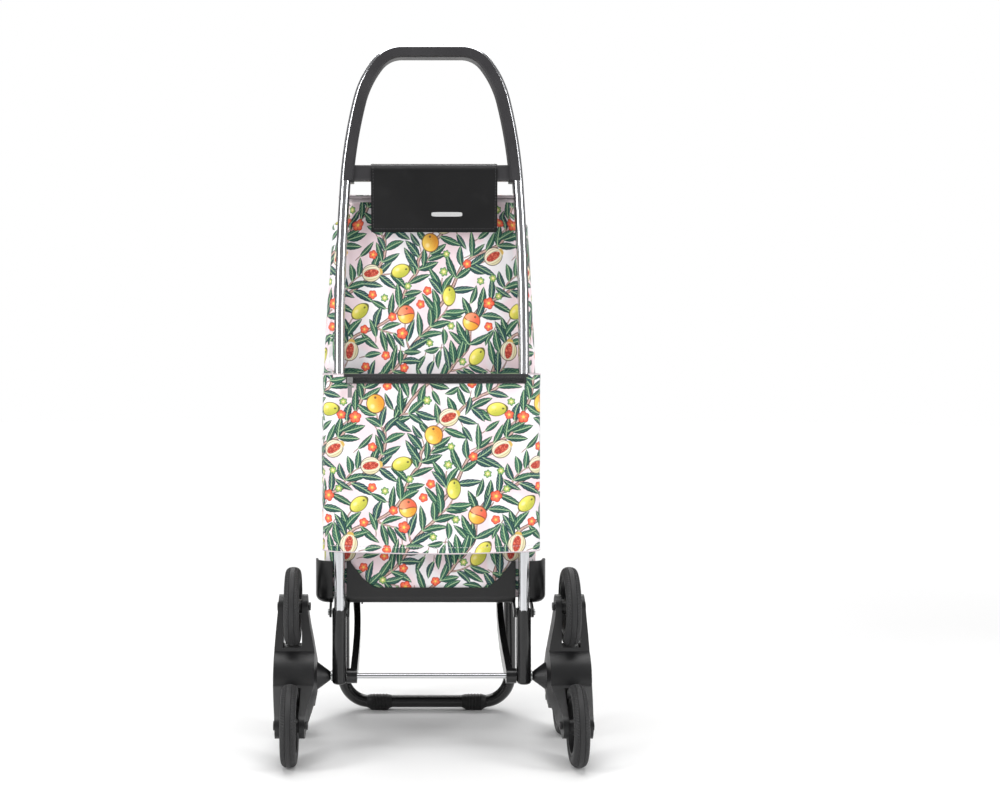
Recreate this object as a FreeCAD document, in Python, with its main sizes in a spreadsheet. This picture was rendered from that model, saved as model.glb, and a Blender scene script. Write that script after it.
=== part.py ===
import FreeCAD, Part
import math
import os
import Sketcher
from FreeCAD import Vector, Rotation, Placement

# Six-wheeled stair-climbing shopping trolley.
# Frame: millimetres, +X to the right for someone standing behind the handle,
# +Y forwards (the way the bag hangs out in front of the tubes), +Z up.
# Origin: centre of the footprint box, on the floor.

doc = FreeCAD.newDocument("shopping_trolley")
sheet = doc.addObject("Spreadsheet::Sheet", "Spec")

VALUES = [
    # running gear
    ("axle_y", -56.4, "fore and aft place of the main axle and of the two uprights"),
    ("axle_z", 110.5, "height of the main axle"),
    ("axle_rad", 4.0, "axle radius"),
    ("axle_half", 231.0, "half length of the axle"),
    ("wheel_rad", 58.5, "tyre outer radius"),
    ("tyre_wide", 23.0, "tyre width"),
    ("rim_rad", 42.0, "rim outer radius"),
    ("rim_wide", 20.0, "rim width"),
    ("wheel_x", 207.5, "distance of a wheel from the middle plane"),
    ("arm_len", 104.0, "hub centre to wheel centre"),
    ("arm_half", 18.0, "half width of a carrier arm"),
    ("fork_in", 193.5, "inner face of the fork slot"),
    ("fork_out", 221.5, "outer face of the fork slot"),
    ("bolt_rad", 3.0, "wheel bolt radius"),
    ("run_gap", 0.05, "radial clearance of a running fit"),
    # frame
    ("tube_x", 138.0, "upright centre from the middle plane"),
    ("tube_wide", 15.6, "oval tube, across"),
    ("tube_deep", 28.0, "oval tube, fore and aft"),
    ("tube_wall", 1.6, "tube wall"),
    ("tube_foot", 125.0, "lower end of the uprights"),
    ("tube_straight", 600.0, "upper end of the straight uprights"),
    ("sleeve_wide", 21.4, "plastic sleeve, across"),
    ("sleeve_deep", 34.0, "plastic sleeve, fore and aft"),
    ("sleeve_low", 99.7, "sleeve lower end"),
    ("sleeve_top", 210.3, "sleeve upper end"),
    ("bar_low", 852.0, "handle cross bar, underside"),
    ("bar_top", 875.5, "handle cross bar, top"),
    ("bar_deep", 22.0, "handle cross bar, fore and aft"),
    # folding tray and stand
    ("pivot_z", 206.0, "tray pivot height"),
    ("pivot_rad", 2.5, "tray pivot pin radius"),
    ("tray_half", 175.0, "tray half width"),
    ("tray_rear", 15.0, "tray rear face, forward of the axle"),
    ("tray_front", 262.0, "tray front face, forward of the axle"),
    ("tray_low", 216.0, "tray underside"),
    ("tray_top", 280.0, "tray side walls, top at the rear"),
    ("tray_mid", 240.0, "tray walls, top in the middle and at the front"),
    ("tray_wall", 3.0, "tray wall"),
    ("tray_floor", 4.0, "tray floor"),
    ("stand_d", 245.0, "stand, forward of the axle"),
    ("stand_rad", 10.0, "stand tube radius"),
    ("stand_wall", 1.5, "stand tube wall"),
    ("stand_low", 13.5, "stand bottom bar, centre height"),
    ("stand_bend", 43.0, "stand bend radius"),
    ("stand_top", 190.0, "stand tube upper end"),
    ("stand_pivot", 204.0, "stand pivot height"),
    ("brace_len", 207.5, "brace length from axle to tip"),
    ("brace_tilt", 26.6, "brace slope at rest, degrees"),
    # soft parts
    ("bag_rear", 19.0, "bag rear face, forward of the axle"),
    ("bag_front", 255.0, "bag front face at the bottom"),
    ("bag_front_top", 241.0, "bag front face at the top"),
    ("bag_half", 160.0, "bag half width at the bottom"),
    ("bag_half_top", 135.5, "bag half width at the top"),
    ("bag_low", 223.5, "bag underside"),
    ("bag_top", 828.0, "bag rim"),
    ("shoulder_low", 788.0, "height where the bag starts to draw in"),
    ("shoulder_high", 804.0, "height where the neck starts"),
    ("shoulder_half", 151.0, "bag half width at the shoulder"),
    ("neck_half", 137.0, "neck half width at its foot"),
    ("bag_corner", 34.0, "bag corner radius"),
    ("bag_wall", 3.0, "bag wall with its lining"),
    ("lid_half", 138.5, "lid half width"),
    ("pocket_half", 163.0, "rear pocket half width"),
    ("pocket_low", 296.0, "rear pocket lower hem"),
    ("pocket_top", 564.0, "rear pocket upper edge"),
    ("pocket_rear", -20.5, "rear pocket rear face"),
    ("pocket_front", 18.5, "rear pocket front edge"),
    ("pocket_wall", 4.0, "rear pocket panel with its lining"),
    ("flap_x", 3.6, "hanging flap centre"),
    ("flap_half", 94.5, "hanging flap half width"),
    ("flap_low", 776.0, "hanging flap lower edge"),
    ("zip_z", 554.5, "zip centre height"),
]

N = {}
for row, (alias, value, note) in enumerate(VALUES, start=1):
    sheet.set("A%d" % row, note)
    sheet.set("B%d" % row, repr(value))
    sheet.setAlias("B%d" % row, alias)
    N[alias] = value
doc.recompute()


class Dim:
    """A number together with the spreadsheet expression that gives it."""

    def __init__(self, value, text):
        self.v = float(value)
        self.t = text

    def __add__(self, other):
        other = dim(other)
        return Dim(self.v + other.v, "(%s + %s)" % (self.t, other.t))

    def __radd__(self, other):
        return dim(other) + self

    def __sub__(self, other):
        other = dim(other)
        return Dim(self.v - other.v, "(%s - %s)" % (self.t, other.t))

    def __rsub__(self, other):
        return dim(other) - self

    def __mul__(self, other):
        other = dim(other)
        return Dim(self.v * other.v, "(%s * %s)" % (self.t, other.t))

    def __rmul__(self, other):
        return dim(other) * self

    def __truediv__(self, other):
        other = dim(other)
        return Dim(self.v / other.v, "(%s / %s)" % (self.t, other.t))

    def __neg__(self):
        return Dim(-self.v, "(0 - %s)" % self.t)


def dim(value):
    if isinstance(value, Dim):
        return value
    return Dim(value, "%.6f" % float(value))


def D(alias):
    return Dim(N[alias], "Spec.%s" % alias)


def bind(obj, prop, value):
    obj.setExpression(prop, dim(value).t)


def at(obj, x, y, z, rotation=None):
    if rotation is not None:
        obj.Placement = Placement(Vector(0, 0, 0), rotation)
    for key, value in (("x", x), ("y", y), ("z", z)):
        bind(obj, "Placement.Base." + key, value)


AXLE_Y = D("axle_y")
ALONG_X = Rotation(Vector(0, 1, 0), 90)
NODES = []


def node(obj, label):
    obj.Label = label
    NODES.append((label, obj))
    return obj


# ---------------------------------------------------------------- primitives
def box(name, x0, x1, y0, y1, z0, z1):
    o = doc.addObject("Part::Box", name)
    bind(o, "Length", dim(x1) - x0)
    bind(o, "Width", dim(y1) - y0)
    bind(o, "Height", dim(z1) - z0)
    at(o, x0, y0, z0)
    return o


def rod_x(name, x0, x1, y, z, radius):
    """Cylinder along X from x0 to x1."""
    o = doc.addObject("Part::Cylinder", name)
    bind(o, "Radius", radius)
    bind(o, "Height", dim(x1) - x0)
    at(o, x0, y, z, ALONG_X)
    return o


def rod_z(name, x, y, z0, z1, radius):
    o = doc.addObject("Part::Cylinder", name)
    bind(o, "Radius", radius)
    bind(o, "Height", dim(z1) - z0)
    at(o, x, y, z0)
    return o


def fuse(name, *shapes):
    o = doc.addObject("Part::MultiFuse", name)
    o.Shapes = list(shapes)
    return o


def common(name, *shapes):
    o = doc.addObject("Part::MultiCommon", name)
    o.Shapes = list(shapes)
    return o


def cut(name, base, tool):
    o = doc.addObject("Part::Cut", name)
    o.Base = base
    o.Tool = tool
    return o


def span(side, a, b):
    """The X interval |X| = a..b on one side, low value first."""
    a, b = dim(a), dim(b)
    return (a, b) if side > 0 else (-b, -a)


# ------------------------------------------------------------ PartDesign help
def new_body(name):
    return doc.addObject("PartDesign::Body", name)


def origin_plane(body, role):
    return [f for f in body.Origin.OriginFeatures if f.Role == role][0]


def sketch_on(body, name, role):
    sk = body.newObject("Sketcher::SketchObject", name)
    sk.AttachmentSupport = [(origin_plane(body, role), "")]
    sk.MapMode = "FlatFace"
    return sk


def polygon(sk, points):
    """Closed polygon whose every corner is bound to the spreadsheet."""
    pts = [(dim(a), dim(b)) for a, b in points]
    n = len(pts)
    base = sk.GeometryCount
    for i in range(n):
        a, b = pts[i], pts[(i + 1) % n]
        sk.addGeometry(Part.LineSegment(Vector(a[0].v, a[1].v, 0), Vector(b[0].v, b[1].v, 0)), False)
    for i in range(n):
        sk.addConstraint(Sketcher.Constraint("Coincident", base + i, 2, base + (i + 1) % n, 1))
    for i in range(n):
        for kind, value in (("DistanceX", pts[i][0]), ("DistanceY", pts[i][1])):
            c = sk.addConstraint(Sketcher.Constraint(kind, -1, 1, base + i, 1, value.v))
            sk.setExpression("Constraints[%d]" % c, value.t)


def stadium(sk, wide, deep):
    """Flat oval centred on the sketch origin, long way along the sketch's Y."""
    wide, deep = dim(wide), dim(deep)
    r = wide.v / 2.0
    half = (deep.v - wide.v) / 2.0
    g = sk.GeometryCount
    sk.addGeometry(Part.ArcOfCircle(Part.Circle(Vector(0, half, 0), Vector(0, 0, 1), r), 0, math.pi), False)
    sk.addGeometry(Part.LineSegment(Vector(-r, half, 0), Vector(-r, -half, 0)), False)
    sk.addGeometry(Part.ArcOfCircle(Part.Circle(Vector(0, -half, 0), Vector(0, 0, 1), r), math.pi, 2 * math.pi), False)
    sk.addGeometry(Part.LineSegment(Vector(r, -half, 0), Vector(r, half, 0)), False)
    sk.addConstraint(Sketcher.Constraint("Tangent", g, 2, g + 1, 1))
    sk.addConstraint(Sketcher.Constraint("Tangent", g + 1, 2, g + 2, 1))
    sk.addConstraint(Sketcher.Constraint("Tangent", g + 2, 2, g + 3, 1))
    sk.addConstraint(Sketcher.Constraint("Tangent", g + 3, 2, g, 1))
    sk.addConstraint(Sketcher.Constraint("PointOnObject", g, 3, -2))
    sk.addConstraint(Sketcher.Constraint("PointOnObject", g + 2, 3, -2))
    c = sk.addConstraint(Sketcher.Constraint("Radius", g, r))
    sk.setExpression("Constraints[%d]" % c, (wide / 2).t)
    c = sk.addConstraint(Sketcher.Constraint("DistanceY", -1, 1, g, 3, half))
    sk.setExpression("Constraints[%d]" % c, ((deep - wide) / 2).t)
    c = sk.addConstraint(Sketcher.Constraint("DistanceY", g + 2, 3, -1, 1, half))
    sk.setExpression("Constraints[%d]" % c, ((deep - wide) / 2).t)


def turned(label, points, x, y, z):
    """Body of revolution about its own X axis; points are (axial, radial)."""
    body = new_body(label)
    sk = sketch_on(body, label + "_section", "XY_Plane")
    polygon(sk, points)
    rev = body.newObject("PartDesign::Revolution", label + "_turn")
    rev.Profile = sk
    rev.ReferenceAxis = (sk, ["H_Axis"])
    rev.Angle = 360
    at(body, x, y, z)
    return body


def feature(label, shape, x=0, y=0, z=0):
    """Free shape; its sizes come from the sheet through N."""
    o = doc.addObject("Part::Feature", label)
    o.Shape = shape
    o.Placement = Placement(Vector(0, 0, 0), Rotation())
    at(o, x, y, z)
    return o


# ----------------------------------------------------- swept tubes (own code)
def inward_path(points_start, segments):
    """Tangent lines and arcs in the XZ plane, starting upwards and turning clockwise.
    segments: ("line", length) or ("arc", radius, degrees turned)."""
    x, z = points_start
    ang = 0.0
    edges = []
    for seg in segments:
        if seg[0] == "line":
            nx, nz = x + seg[1] * math.sin(ang), z + seg[1] * math.cos(ang)
            edges.append(Part.LineSegment(Vector(x, 0, z), Vector(nx, 0, nz)).toShape())
        else:
            r, turn = seg[1], math.radians(seg[2])
            cx, cz = x + r * math.cos(ang), z - r * math.sin(ang)

            def on(a):
                return Vector(cx - r * math.cos(a), 0, cz + r * math.sin(a))

            end = on(ang + turn)
            edges.append(Part.Arc(on(ang), on(ang + turn / 2), end).toShape())
            nx, nz = end.x, end.z
            ang += turn
        x, z = nx, nz
    return edges, (x, z), ang


def mirrored(edges):
    out = []
    for e in reversed(edges):
        p = [e.valueAt(e.FirstParameter + (e.LastParameter - e.FirstParameter) * k) for k in (1.0, 0.5, 0.0)]
        q = [Vector(-v.x, v.y, v.z) for v in p]
        if e.Curve.TypeId == "Part::GeomLine":
            out.append(Part.LineSegment(q[0], q[2]).toShape())
        else:
            out.append(Part.Arc(q[0], q[1], q[2]).toShape())
    return out


def flat_oval(cx, cz, half_x, half_y):
    """Stadium wire in a horizontal plane at height cz, long way along Y."""
    r = half_x
    h_ = half_y - half_x
    p = [Vector(cx + r, h_, cz), Vector(cx, h_ + r, cz), Vector(cx - r, h_, cz), Vector(cx - r, -h_, cz),
         Vector(cx, -h_ - r, cz), Vector(cx + r, -h_, cz)]
    return Part.Wire([Part.Arc(p[0], p[1], p[2]).toShape(), Part.LineSegment(p[2], p[3]).toShape(),
                      Part.Arc(p[3], p[4], p[5]).toShape(), Part.LineSegment(p[5], p[0]).toShape()])


def sweep(path, profile):
    maker = Part.BRepOffsetAPI.MakePipeShell(path)
    maker.setBiNormalMode(Vector(0, 1, 0))
    maker.add(profile)
    maker.build()
    maker.makeSolid()
    return maker.shape()


half_edges, top_end, _ = inward_path(
    (-N["tube_x"], N["tube_foot"]),
    [("line", N["tube_straight"] - N["tube_foot"]), ("arc", 3580.0, 4.0), ("arc", 718.0, 10.0),
     ("arc", 149.0, 24.0), ("arc", 48.0, 52.0)],
)
top_line = Part.LineSegment(Vector(top_end[0], 0, top_end[1]), Vector(-top_end[0], 0, top_end[1])).toShape()
loop = Part.Wire(half_edges + [top_line] + mirrored(half_edges))
tube_outer = sweep(loop, flat_oval(-N["tube_x"], N["tube_foot"], N["tube_wide"] / 2, N["tube_deep"] / 2))
tube_inner = sweep(loop, flat_oval(-N["tube_x"], N["tube_foot"], N["tube_wide"] / 2 - N["tube_wall"],
                                   N["tube_deep"] / 2 - N["tube_wall"]))
pin_bore = None
for side in (-1, 1):
    bore = Part.makeCylinder(N["pivot_rad"], 60, Vector(side * N["tube_x"] - 30, 0, N["pivot_z"]), Vector(1, 0, 0))
    pin_bore = bore if pin_bore is None else pin_bore.fuse(bore)
node(feature("frame_tube", tube_outer.cut(tube_inner).cut(pin_bore), 0, AXLE_Y, 0), "frame_tube")

# Handle grip: moulded lining on the inner side of the loop, with the cross bar.
g0, g1, gd = -3.3, 11.7, 16.0
grip_profile = Part.makePolygon([
    Vector(-N["tube_x"] + g0, -gd, N["tube_foot"]), Vector(-N["tube_x"] + g1 - 2.5, -gd, N["tube_foot"]),
    Vector(-N["tube_x"] + g1, -gd + 3.5, N["tube_foot"]), Vector(-N["tube_x"] + g1, gd - 3.5, N["tube_foot"]),
    Vector(-N["tube_x"] + g1 - 2.5, gd, N["tube_foot"]), Vector(-N["tube_x"] + g0, gd, N["tube_foot"]),
    Vector(-N["tube_x"] + g0, -gd, N["tube_foot"])])
lining = sweep(loop, grip_profile)
lining = lining.common(Part.makeBox(400, 100, 400, Vector(-200, -50, N["bar_low"])))
bar = Part.makeBox(240, N["bar_deep"], N["bar_top"] - N["bar_low"], Vector(-120, -N["bar_deep"] / 2, N["bar_low"]))
bar = bar.makeFillet(3.0, [e for e in bar.Edges if abs(e.tangentAt(0).x) > 0.99])
grip = lining.fuse(bar)
for side in (-1, 1):
    grip = grip.fuse(Part.makeBox(9, 24, 8, Vector(side * 120.5 - 4.5, -12, N["bar_low"] - 3.0)))
grip = grip.cut(tube_outer).removeSplitter()
node(feature("handle_grip", grip, 0, AXLE_Y, 0), "handle_grip")

# -------------------------------------------------------------- tube sleeves
for side, tag in ((-1, "left"), (1, "right")):
    label = "tube_sleeve_" + tag
    body = new_body(label + "_blank")
    sk = sketch_on(body, label + "_section", "XY_Plane")
    stadium(sk, D("sleeve_wide"), D("sleeve_deep"))
    pad = body.newObject("PartDesign::Pad", label + "_pad")
    pad.Profile = sk
    bind(pad, "Length", D("sleeve_top") - D("sleeve_low"))
    doc.recompute()
    edges = ["Edge%d" % (i + 1) for i, e in enumerate(pad.Shape.Edges) if abs(e.BoundBox.ZMax) < 1e-6]
    rounding = body.newObject("PartDesign::Fillet", label + "_foot")
    rounding.Base = (pad, edges)
    rounding.Radius = 5.0
    inner = sketch_on(body, label + "_socket_section", "XY_Plane")
    stadium(inner, D("tube_wide"), D("tube_deep"))
    inner.AttachmentOffset = Placement(Vector(0, 0, N["sleeve_top"] - N["sleeve_low"]), Rotation())
    inner.setExpression("AttachmentOffset.Base.z", (D("sleeve_top") - D("sleeve_low")).t)
    socket = body.newObject("PartDesign::Pocket", label + "_socket")
    socket.Profile = inner
    bind(socket, "Length", D("sleeve_top") - D("tube_foot"))
    at(body, side * D("tube_x"), AXLE_Y, D("sleeve_low"))
    sx0, sx1 = span(side, D("tube_x") - 20, D("tube_x") + 20)
    tools = fuse(label + "_bores",
                 rod_x(label + "_axle_bore", sx0, sx1, AXLE_Y, D("axle_z"), D("axle_rad")),
                 rod_x(label + "_pin_bore", sx0, sx1, AXLE_Y, D("pivot_z"), D("pivot_rad")))
    node(cut(label + "_drilled", body, tools), label)

# ------------------------------------------------------------------ main axle
node(rod_x("axle_rod_bar", -D("axle_half"), D("axle_half"), AXLE_Y, D("axle_z"), D("axle_rad")), "axle_rod")

washers = []
for side in (-1, 1):
    for a, b in ((148.8, 150.3),):
        x0, _ = span(side, a, b)
        washers.append(turned("washer_%s" % ("left" if side < 0 else "right"),
                              [(0, D("axle_rad")), (0, 8.0), (1.5, 8.0), (1.5, D("axle_rad"))],
                              x0, AXLE_Y, D("axle_z")))
node(fuse("axle_washers_group", *washers), "axle_washers")

caps = []
for side, tag in ((-1, "left"), (1, "right")):
    # push-on cap: 8 mm deep, blind, domed on the outside
    pts = [(0, D("axle_rad")), (0, 9.0), (0.8, 10.2), (4.5, 10.2), (6.6, 8.2), (7.4, 4.5), (7.6, 0),
           (D("axle_half") - 226.8, 0), (D("axle_half") - 226.8, D("axle_rad"))]
    cap = turned("axle_cap_" + tag, pts, 226.8 * side, AXLE_Y, D("axle_z"))
    if side < 0:
        cap.Placement = Placement(Vector(0, 0, 0), Rotation(Vector(0, 0, 1), 180))
        at(cap, -226.8, AXLE_Y, D("axle_z"))
    caps.append(cap)
node(fuse("axle_end_caps_group", *caps), "axle_end_caps")

# --------------------------------------------------------------- tray pivots
pins = []
for side, tag in ((-1, "left"), (1, "right")):
    x0, x1 = span(side, 122.7, 153.4)
    h0, h1 = span(side, 153.4, 155.4)
    pins.append(fuse("tray_pin_" + tag,
                     rod_x("tray_pin_shank_" + tag, x0, x1, AXLE_Y, D("pivot_z"), D("pivot_rad")),
                     rod_x("tray_pin_head_" + tag, h0, h1, AXLE_Y, D("pivot_z"), D("pivot_rad") + 2.2)))
node(fuse("tray_pivot_pins_group", *pins), "tray_pivot_pins")

# ------------------------------------------------------------- wheel carriers
hub_z = N["axle_z"]
ARMS = {"top": 0.0, "front": 120.0, "rear": 240.0}   # degrees from straight up, towards the front


def wheel_centre(arm):
    a = math.radians(ARMS[arm])
    return AXLE_Y + D("arm_len") * math.sin(a), D("axle_z") + D("arm_len") * math.cos(a)


for side, tag in ((-1, "left"), (1, "right")):
    pieces = []
    for arm, degrees in ARMS.items():
        name = "carrier_%s_%s" % (tag, arm)
        x0, x1 = span(side, 140.0, 240.0)
        # arm blade: rotated box from the hub out to the wheel centre
        blade = doc.addObject("Part::Box", name + "_blade")
        bind(blade, "Length", dim(x1) - x0)
        bind(blade, "Width", D("arm_half") * 2)
        bind(blade, "Height", D("arm_len"))
        rot = Rotation(Vector(1, 0, 0), -degrees)
        off = rot.multVec(Vector(0, -N["arm_half"], 0))
        at(blade, x0, AXLE_Y + off.y, D("axle_z") + off.z, rot)
        wy, wz = wheel_centre(arm)
        pieces += [blade, rod_x(name + "_tip", x0, x1, wy, wz, D("arm_half"))]
    x0, x1 = span(side, 140.0, 240.0)
    pieces.append(rod_x("carrier_%s_disc" % tag, x0, x1, AXLE_Y, D("axle_z"), 44.0))
    star = fuse("carrier_%s_star" % tag, *pieces)
    # thickness profile: thick at the hub, thin at the tips, with the hub cone inside
    prof = [(151.0, 4.0), (151.0, 6.0), (171.0, 20.5), (171.0, 25.0), (176.0, 52.0), (181.5, 80.0), (184.5, 100.0),
            (185.5, 123.0), (228.0, 123.0), (229.5, 100.0), (232.5, 70.0), (234.6, 46.0), (235.0, 34.0), (235.0, 10.9),
            (226.5, 10.9), (226.5, 4.0)]
    env = turned("carrier_%s_envelope" % tag, [(side * a, r) for a, r in prof] if side > 0 else
                 [(-a, r) for a, r in prof], 0, AXLE_Y, D("axle_z"))
    shape = common("carrier_%s_blank" % tag, star, env)
    tools = []
    for arm in ARMS:
        wy, wz = wheel_centre(arm)
        s0, s1 = span(side, D("fork_in"), D("fork_out"))
        tools.append(rod_x("carrier_%s_%s_slot" % (tag, arm), s0, s1, wy, wz, D("wheel_rad") + 2.5))
        b0, b1 = span(side, 180.0, 240.0)
        tools.append(rod_x("carrier_%s_%s_bore" % (tag, arm), b0, b1, wy, wz, D("bolt_rad")))
    q0, q1 = span(side, 145.0, 240.0)
    tools.append(rod_x("carrier_%s_hub_bore" % tag, q0, q1, AXLE_Y, D("axle_z"), 6.0))
    node(cut("carrier_%s_cut" % tag, shape, fuse("carrier_%s_tools" % tag, *tools)), "wheel_carrier_" + tag)

    # nylon bush pressed into the hub; it runs on the axle
    node(turned("hub_bush_%s_body" % tag,
                [(151.0 * side, D("axle_rad") + D("run_gap")), (151.0 * side, 6.0), (226.5 * side, 6.0),
                 (226.5 * side, D("axle_rad") + D("run_gap"))], 0, AXLE_Y, D("axle_z")), "hub_bush_" + tag)

    bolts, nuts = [], []
    for arm in ARMS:
        wy, wz = wheel_centre(arm)
        name = "bolt_%s_%s" % (tag, arm)
        s0, s1 = span(side, 183.0, 228.3)
        h0, h1 = span(side, 228.3, 230.8)
        bolts.append(fuse(name, rod_x(name + "_shank", s0, s1, wy, wz, D("bolt_rad")),
                          rod_x(name + "_head", h0, h1, wy, wz, 6.5)))
        k0, k1 = span(side, 181.0, 184.2)
        nut = doc.addObject("Part::Prism", "nut_%s_%s" % (tag, arm))
        nut.Polygon = 6
        nut.Circumradius = 6.0
        bind(nut, "Height", dim(k1) - k0)
        at(nut, k0, wy, wz, ALONG_X)
        nuts.append(cut("nut_%s_%s_tapped" % (tag, arm), nut,
                        rod_x("nut_%s_%s_bore" % (tag, arm), k0 - 1, k1 + 1, wy, wz, D("bolt_rad"))))
    node(fuse("wheel_bolts_%s_group" % tag, *bolts), "wheel_bolts_" + tag)
    node(fuse("wheel_nuts_%s_group" % tag, *nuts), "wheel_nuts_" + tag)

    # wheels
    for arm in ARMS:
        wy, wz = wheel_centre(arm)
        w2 = D("tyre_wide") / 2
        big, small, b2 = D("wheel_rad"), D("rim_rad"), D("rim_wide") / 2
        name = "%s_%s" % (tag, arm)
        node(turned("tyre_%s_body" % name,
                    [(-b2, small), (-w2, small + 3), (-w2, big - 7.0), (1.3 - w2, big - 3.2), (4.4 - w2, big - 0.9),
                     (8.0 - w2, big), (w2 - 8.0, big), (w2 - 4.4, big - 0.9), (w2 - 1.3, big - 3.2), (w2, big - 7.0),
                     (w2, small + 3), (b2, small)],
                    side * D("wheel_x") if side > 0 else -D("wheel_x"), wy, wz), "tyre_" + name)
        bore = D("bolt_rad") + D("run_gap")
        rim = turned("rim_%s_body" % name,
                     [(-13.6, bore), (-13.6, 9.0), (-12.6, 10.5), (-3.6, 12.0), (-3.6, small - 5.5), (-b2, small - 3.4),
                      (-b2, small), (b2, small), (b2, small - 3.4), (3.6, small - 5.5), (3.6, 12.0), (12.6, 10.5),
                      (13.6, 9.0), (13.6, bore)],
                     D("wheel_x") if side > 0 else -D("wheel_x"), wy, wz)
        win = sketch_on(rim, "rim_%s_window" % name, "YZ_Plane")
        pts = [(15.5, -22.0), (25.0, -28.0), (34.6, -30.0), (35.2, -15.0), (35.4, 0.0), (35.2, 15.0), (34.6, 30.0),
               (25.0, 28.0), (15.5, 22.0), (15.5, 0.0)]
        polygon(win, [(small / 42.0 * (r * math.cos(math.radians(a))), small / 42.0 * (r * math.sin(math.radians(a))))
                      for r, a in pts])
        pocket = rim.newObject("PartDesign::Pocket", "rim_%s_windows" % name)
        pocket.Profile = win
        pocket.Length = 40
        pocket.Midplane = True
        doc.recompute()
        pattern = rim.newObject("PartDesign::PolarPattern", "rim_%s_pattern" % name)
        pattern.Originals = [pocket]
        pattern.Axis = (win, ["N_Axis"])
        pattern.Angle = 360
        pattern.Occurrences = 5
        rim.Tip = pattern
        node(rim, "rim_" + name)

# ------------------------------------------------------------------- the tray
def yz_prism(points, x0, x1):
    wire = Part.makePolygon([Vector(x0, d, z) for d, z in points] + [Vector(x0, points[0][0], points[0][1])])
    return Part.Face(wire).extrude(Vector(x1 - x0, 0, 0))


def xz_prism(points, y0, y1):
    wire = Part.makePolygon([Vector(x, y0, z) for x, z in points] + [Vector(points[0][0], y0, points[0][1])])
    return Part.Face(wire).extrude(Vector(0, y1 - y0, 0))


def pan(half, rear, front, low, top, corner, bottom):
    solid = Part.makeBox(2 * half, front - rear, top - low, Vector(-half, rear, low))
    upright = [e for e in solid.Edges if e.BoundBox.ZLength > 1]
    solid = solid.makeFillet(corner, upright)
    floor = [e for e in solid.Edges if abs(e.BoundBox.ZMax - low) < 1e-4]
    return solid.makeFillet(bottom, floor)


th, tr, tf, tl, tt, tm = (N["tray_half"], N["tray_rear"], N["tray_front"], N["tray_low"], N["tray_top"], N["tray_mid"])
tray = pan(th, tr, tf, tl, tt, 25.0, 11.0)
tray = tray.cut(pan(th - N["tray_wall"], tr + N["tray_wall"], tf - N["tray_wall"], tl + N["tray_floor"], tt + 20, 22.0, 6.0))
# rear wall: low in the middle, rising in a curve to full height beside the uprights
tray = tray.cut(xz_prism([(-121, tt + 1), (-121, 278), (-114, 268), (-104, 255), (-86, tm), (86, tm), (104, 255), (114, 268),
                          (121, 278), (121, tt + 1)], tr - 1, tr + 30))
# side walls fall from the rear corners to the front wall
tray = tray.cut(yz_prism([(tr + 32, tt + 1), (tr + 32, tt), (tf - 60, tm), (tf + 1, tm), (tf + 1, tt + 1)], -th - 1, th + 1))
for side in (-1, 1):
    a, b = sorted((side * 127.5, side * 148.5))
    tray = tray.cut(Part.makeBox(b - a, 80 - tr + 5, 90, Vector(a, tr - 5, tl - 3)))
pz = N["pivot_z"]
sd, sp = N["stand_d"], N["stand_pivot"]
for side in (-1, 1):
    for a, b in ((123.0, 126.3), (149.8, 153.0)):
        x0, x1 = sorted((side * a, side * b))
        ear = yz_prism([(0, pz - 8), (31, tl - 0.2), (31, tl + 2), (8, tl + 2), (-5.5, pz + 5.8), (-4, pz)], x0, x1)
        ear = ear.fuse(Part.makeCylinder(8.0, x1 - x0, Vector(x0, 0, pz), Vector(1, 0, 0)))
        tray = tray.fuse(ear)
        tray = tray.cut(Part.makeCylinder(N["pivot_rad"] + N["run_gap"], x1 - x0 + 2, Vector(x0 - 1, 0, pz), Vector(1, 0, 0)))
    for a, b in ((103.5, 106.0), (123.3, 125.5)):
        x0, x1 = sorted((side * a, side * b))
        tray = tray.fuse(yz_prism([(50, tl + 1), (58, tl - 8), (214, tl - 8), (222, tl + 1)], x0, x1))
    for a, b in ((124.3, 127.3), (148.7, 151.7)):
        x0, x1 = sorted((side * a, side * b))
        lug = Part.makeBox(x1 - x0, 18, tl + 1 - sp, Vector(x0, sd - 9, sp))
        lug = lug.fuse(Part.makeCylinder(9.0, x1 - x0, Vector(x0, sd, sp), Vector(1, 0, 0)))
        tray = tray.fuse(lug)
        tray = tray.cut(Part.makeCylinder(3.0, x1 - x0 + 2, Vector(x0 - 1, sd, sp), Vector(1, 0, 0)))
tray = tray.removeSplitter()
node(feature("tray_moulding", tray, 0, AXLE_Y, 0), "tray")

# ------------------------------------------------------------ folding stand
SD = AXLE_Y + D("stand_d")
pins = []
for side, tag in ((-1, "left"), (1, "right")):
    x0, x1 = span(side, 122.6, 152.2)
    h0, h1 = span(side, 152.2, 154.2)
    pins.append(fuse("stand_pin_" + tag,
                     rod_x("stand_pin_shank_" + tag, x0, x1, SD, D("stand_pivot"), 3.0),
                     rod_x("stand_pin_head_" + tag, h0, h1, SD, D("stand_pivot"), 5.2)))
node(fuse("stand_pivot_pins_group", *pins), "stand_pivot_pins")

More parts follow.
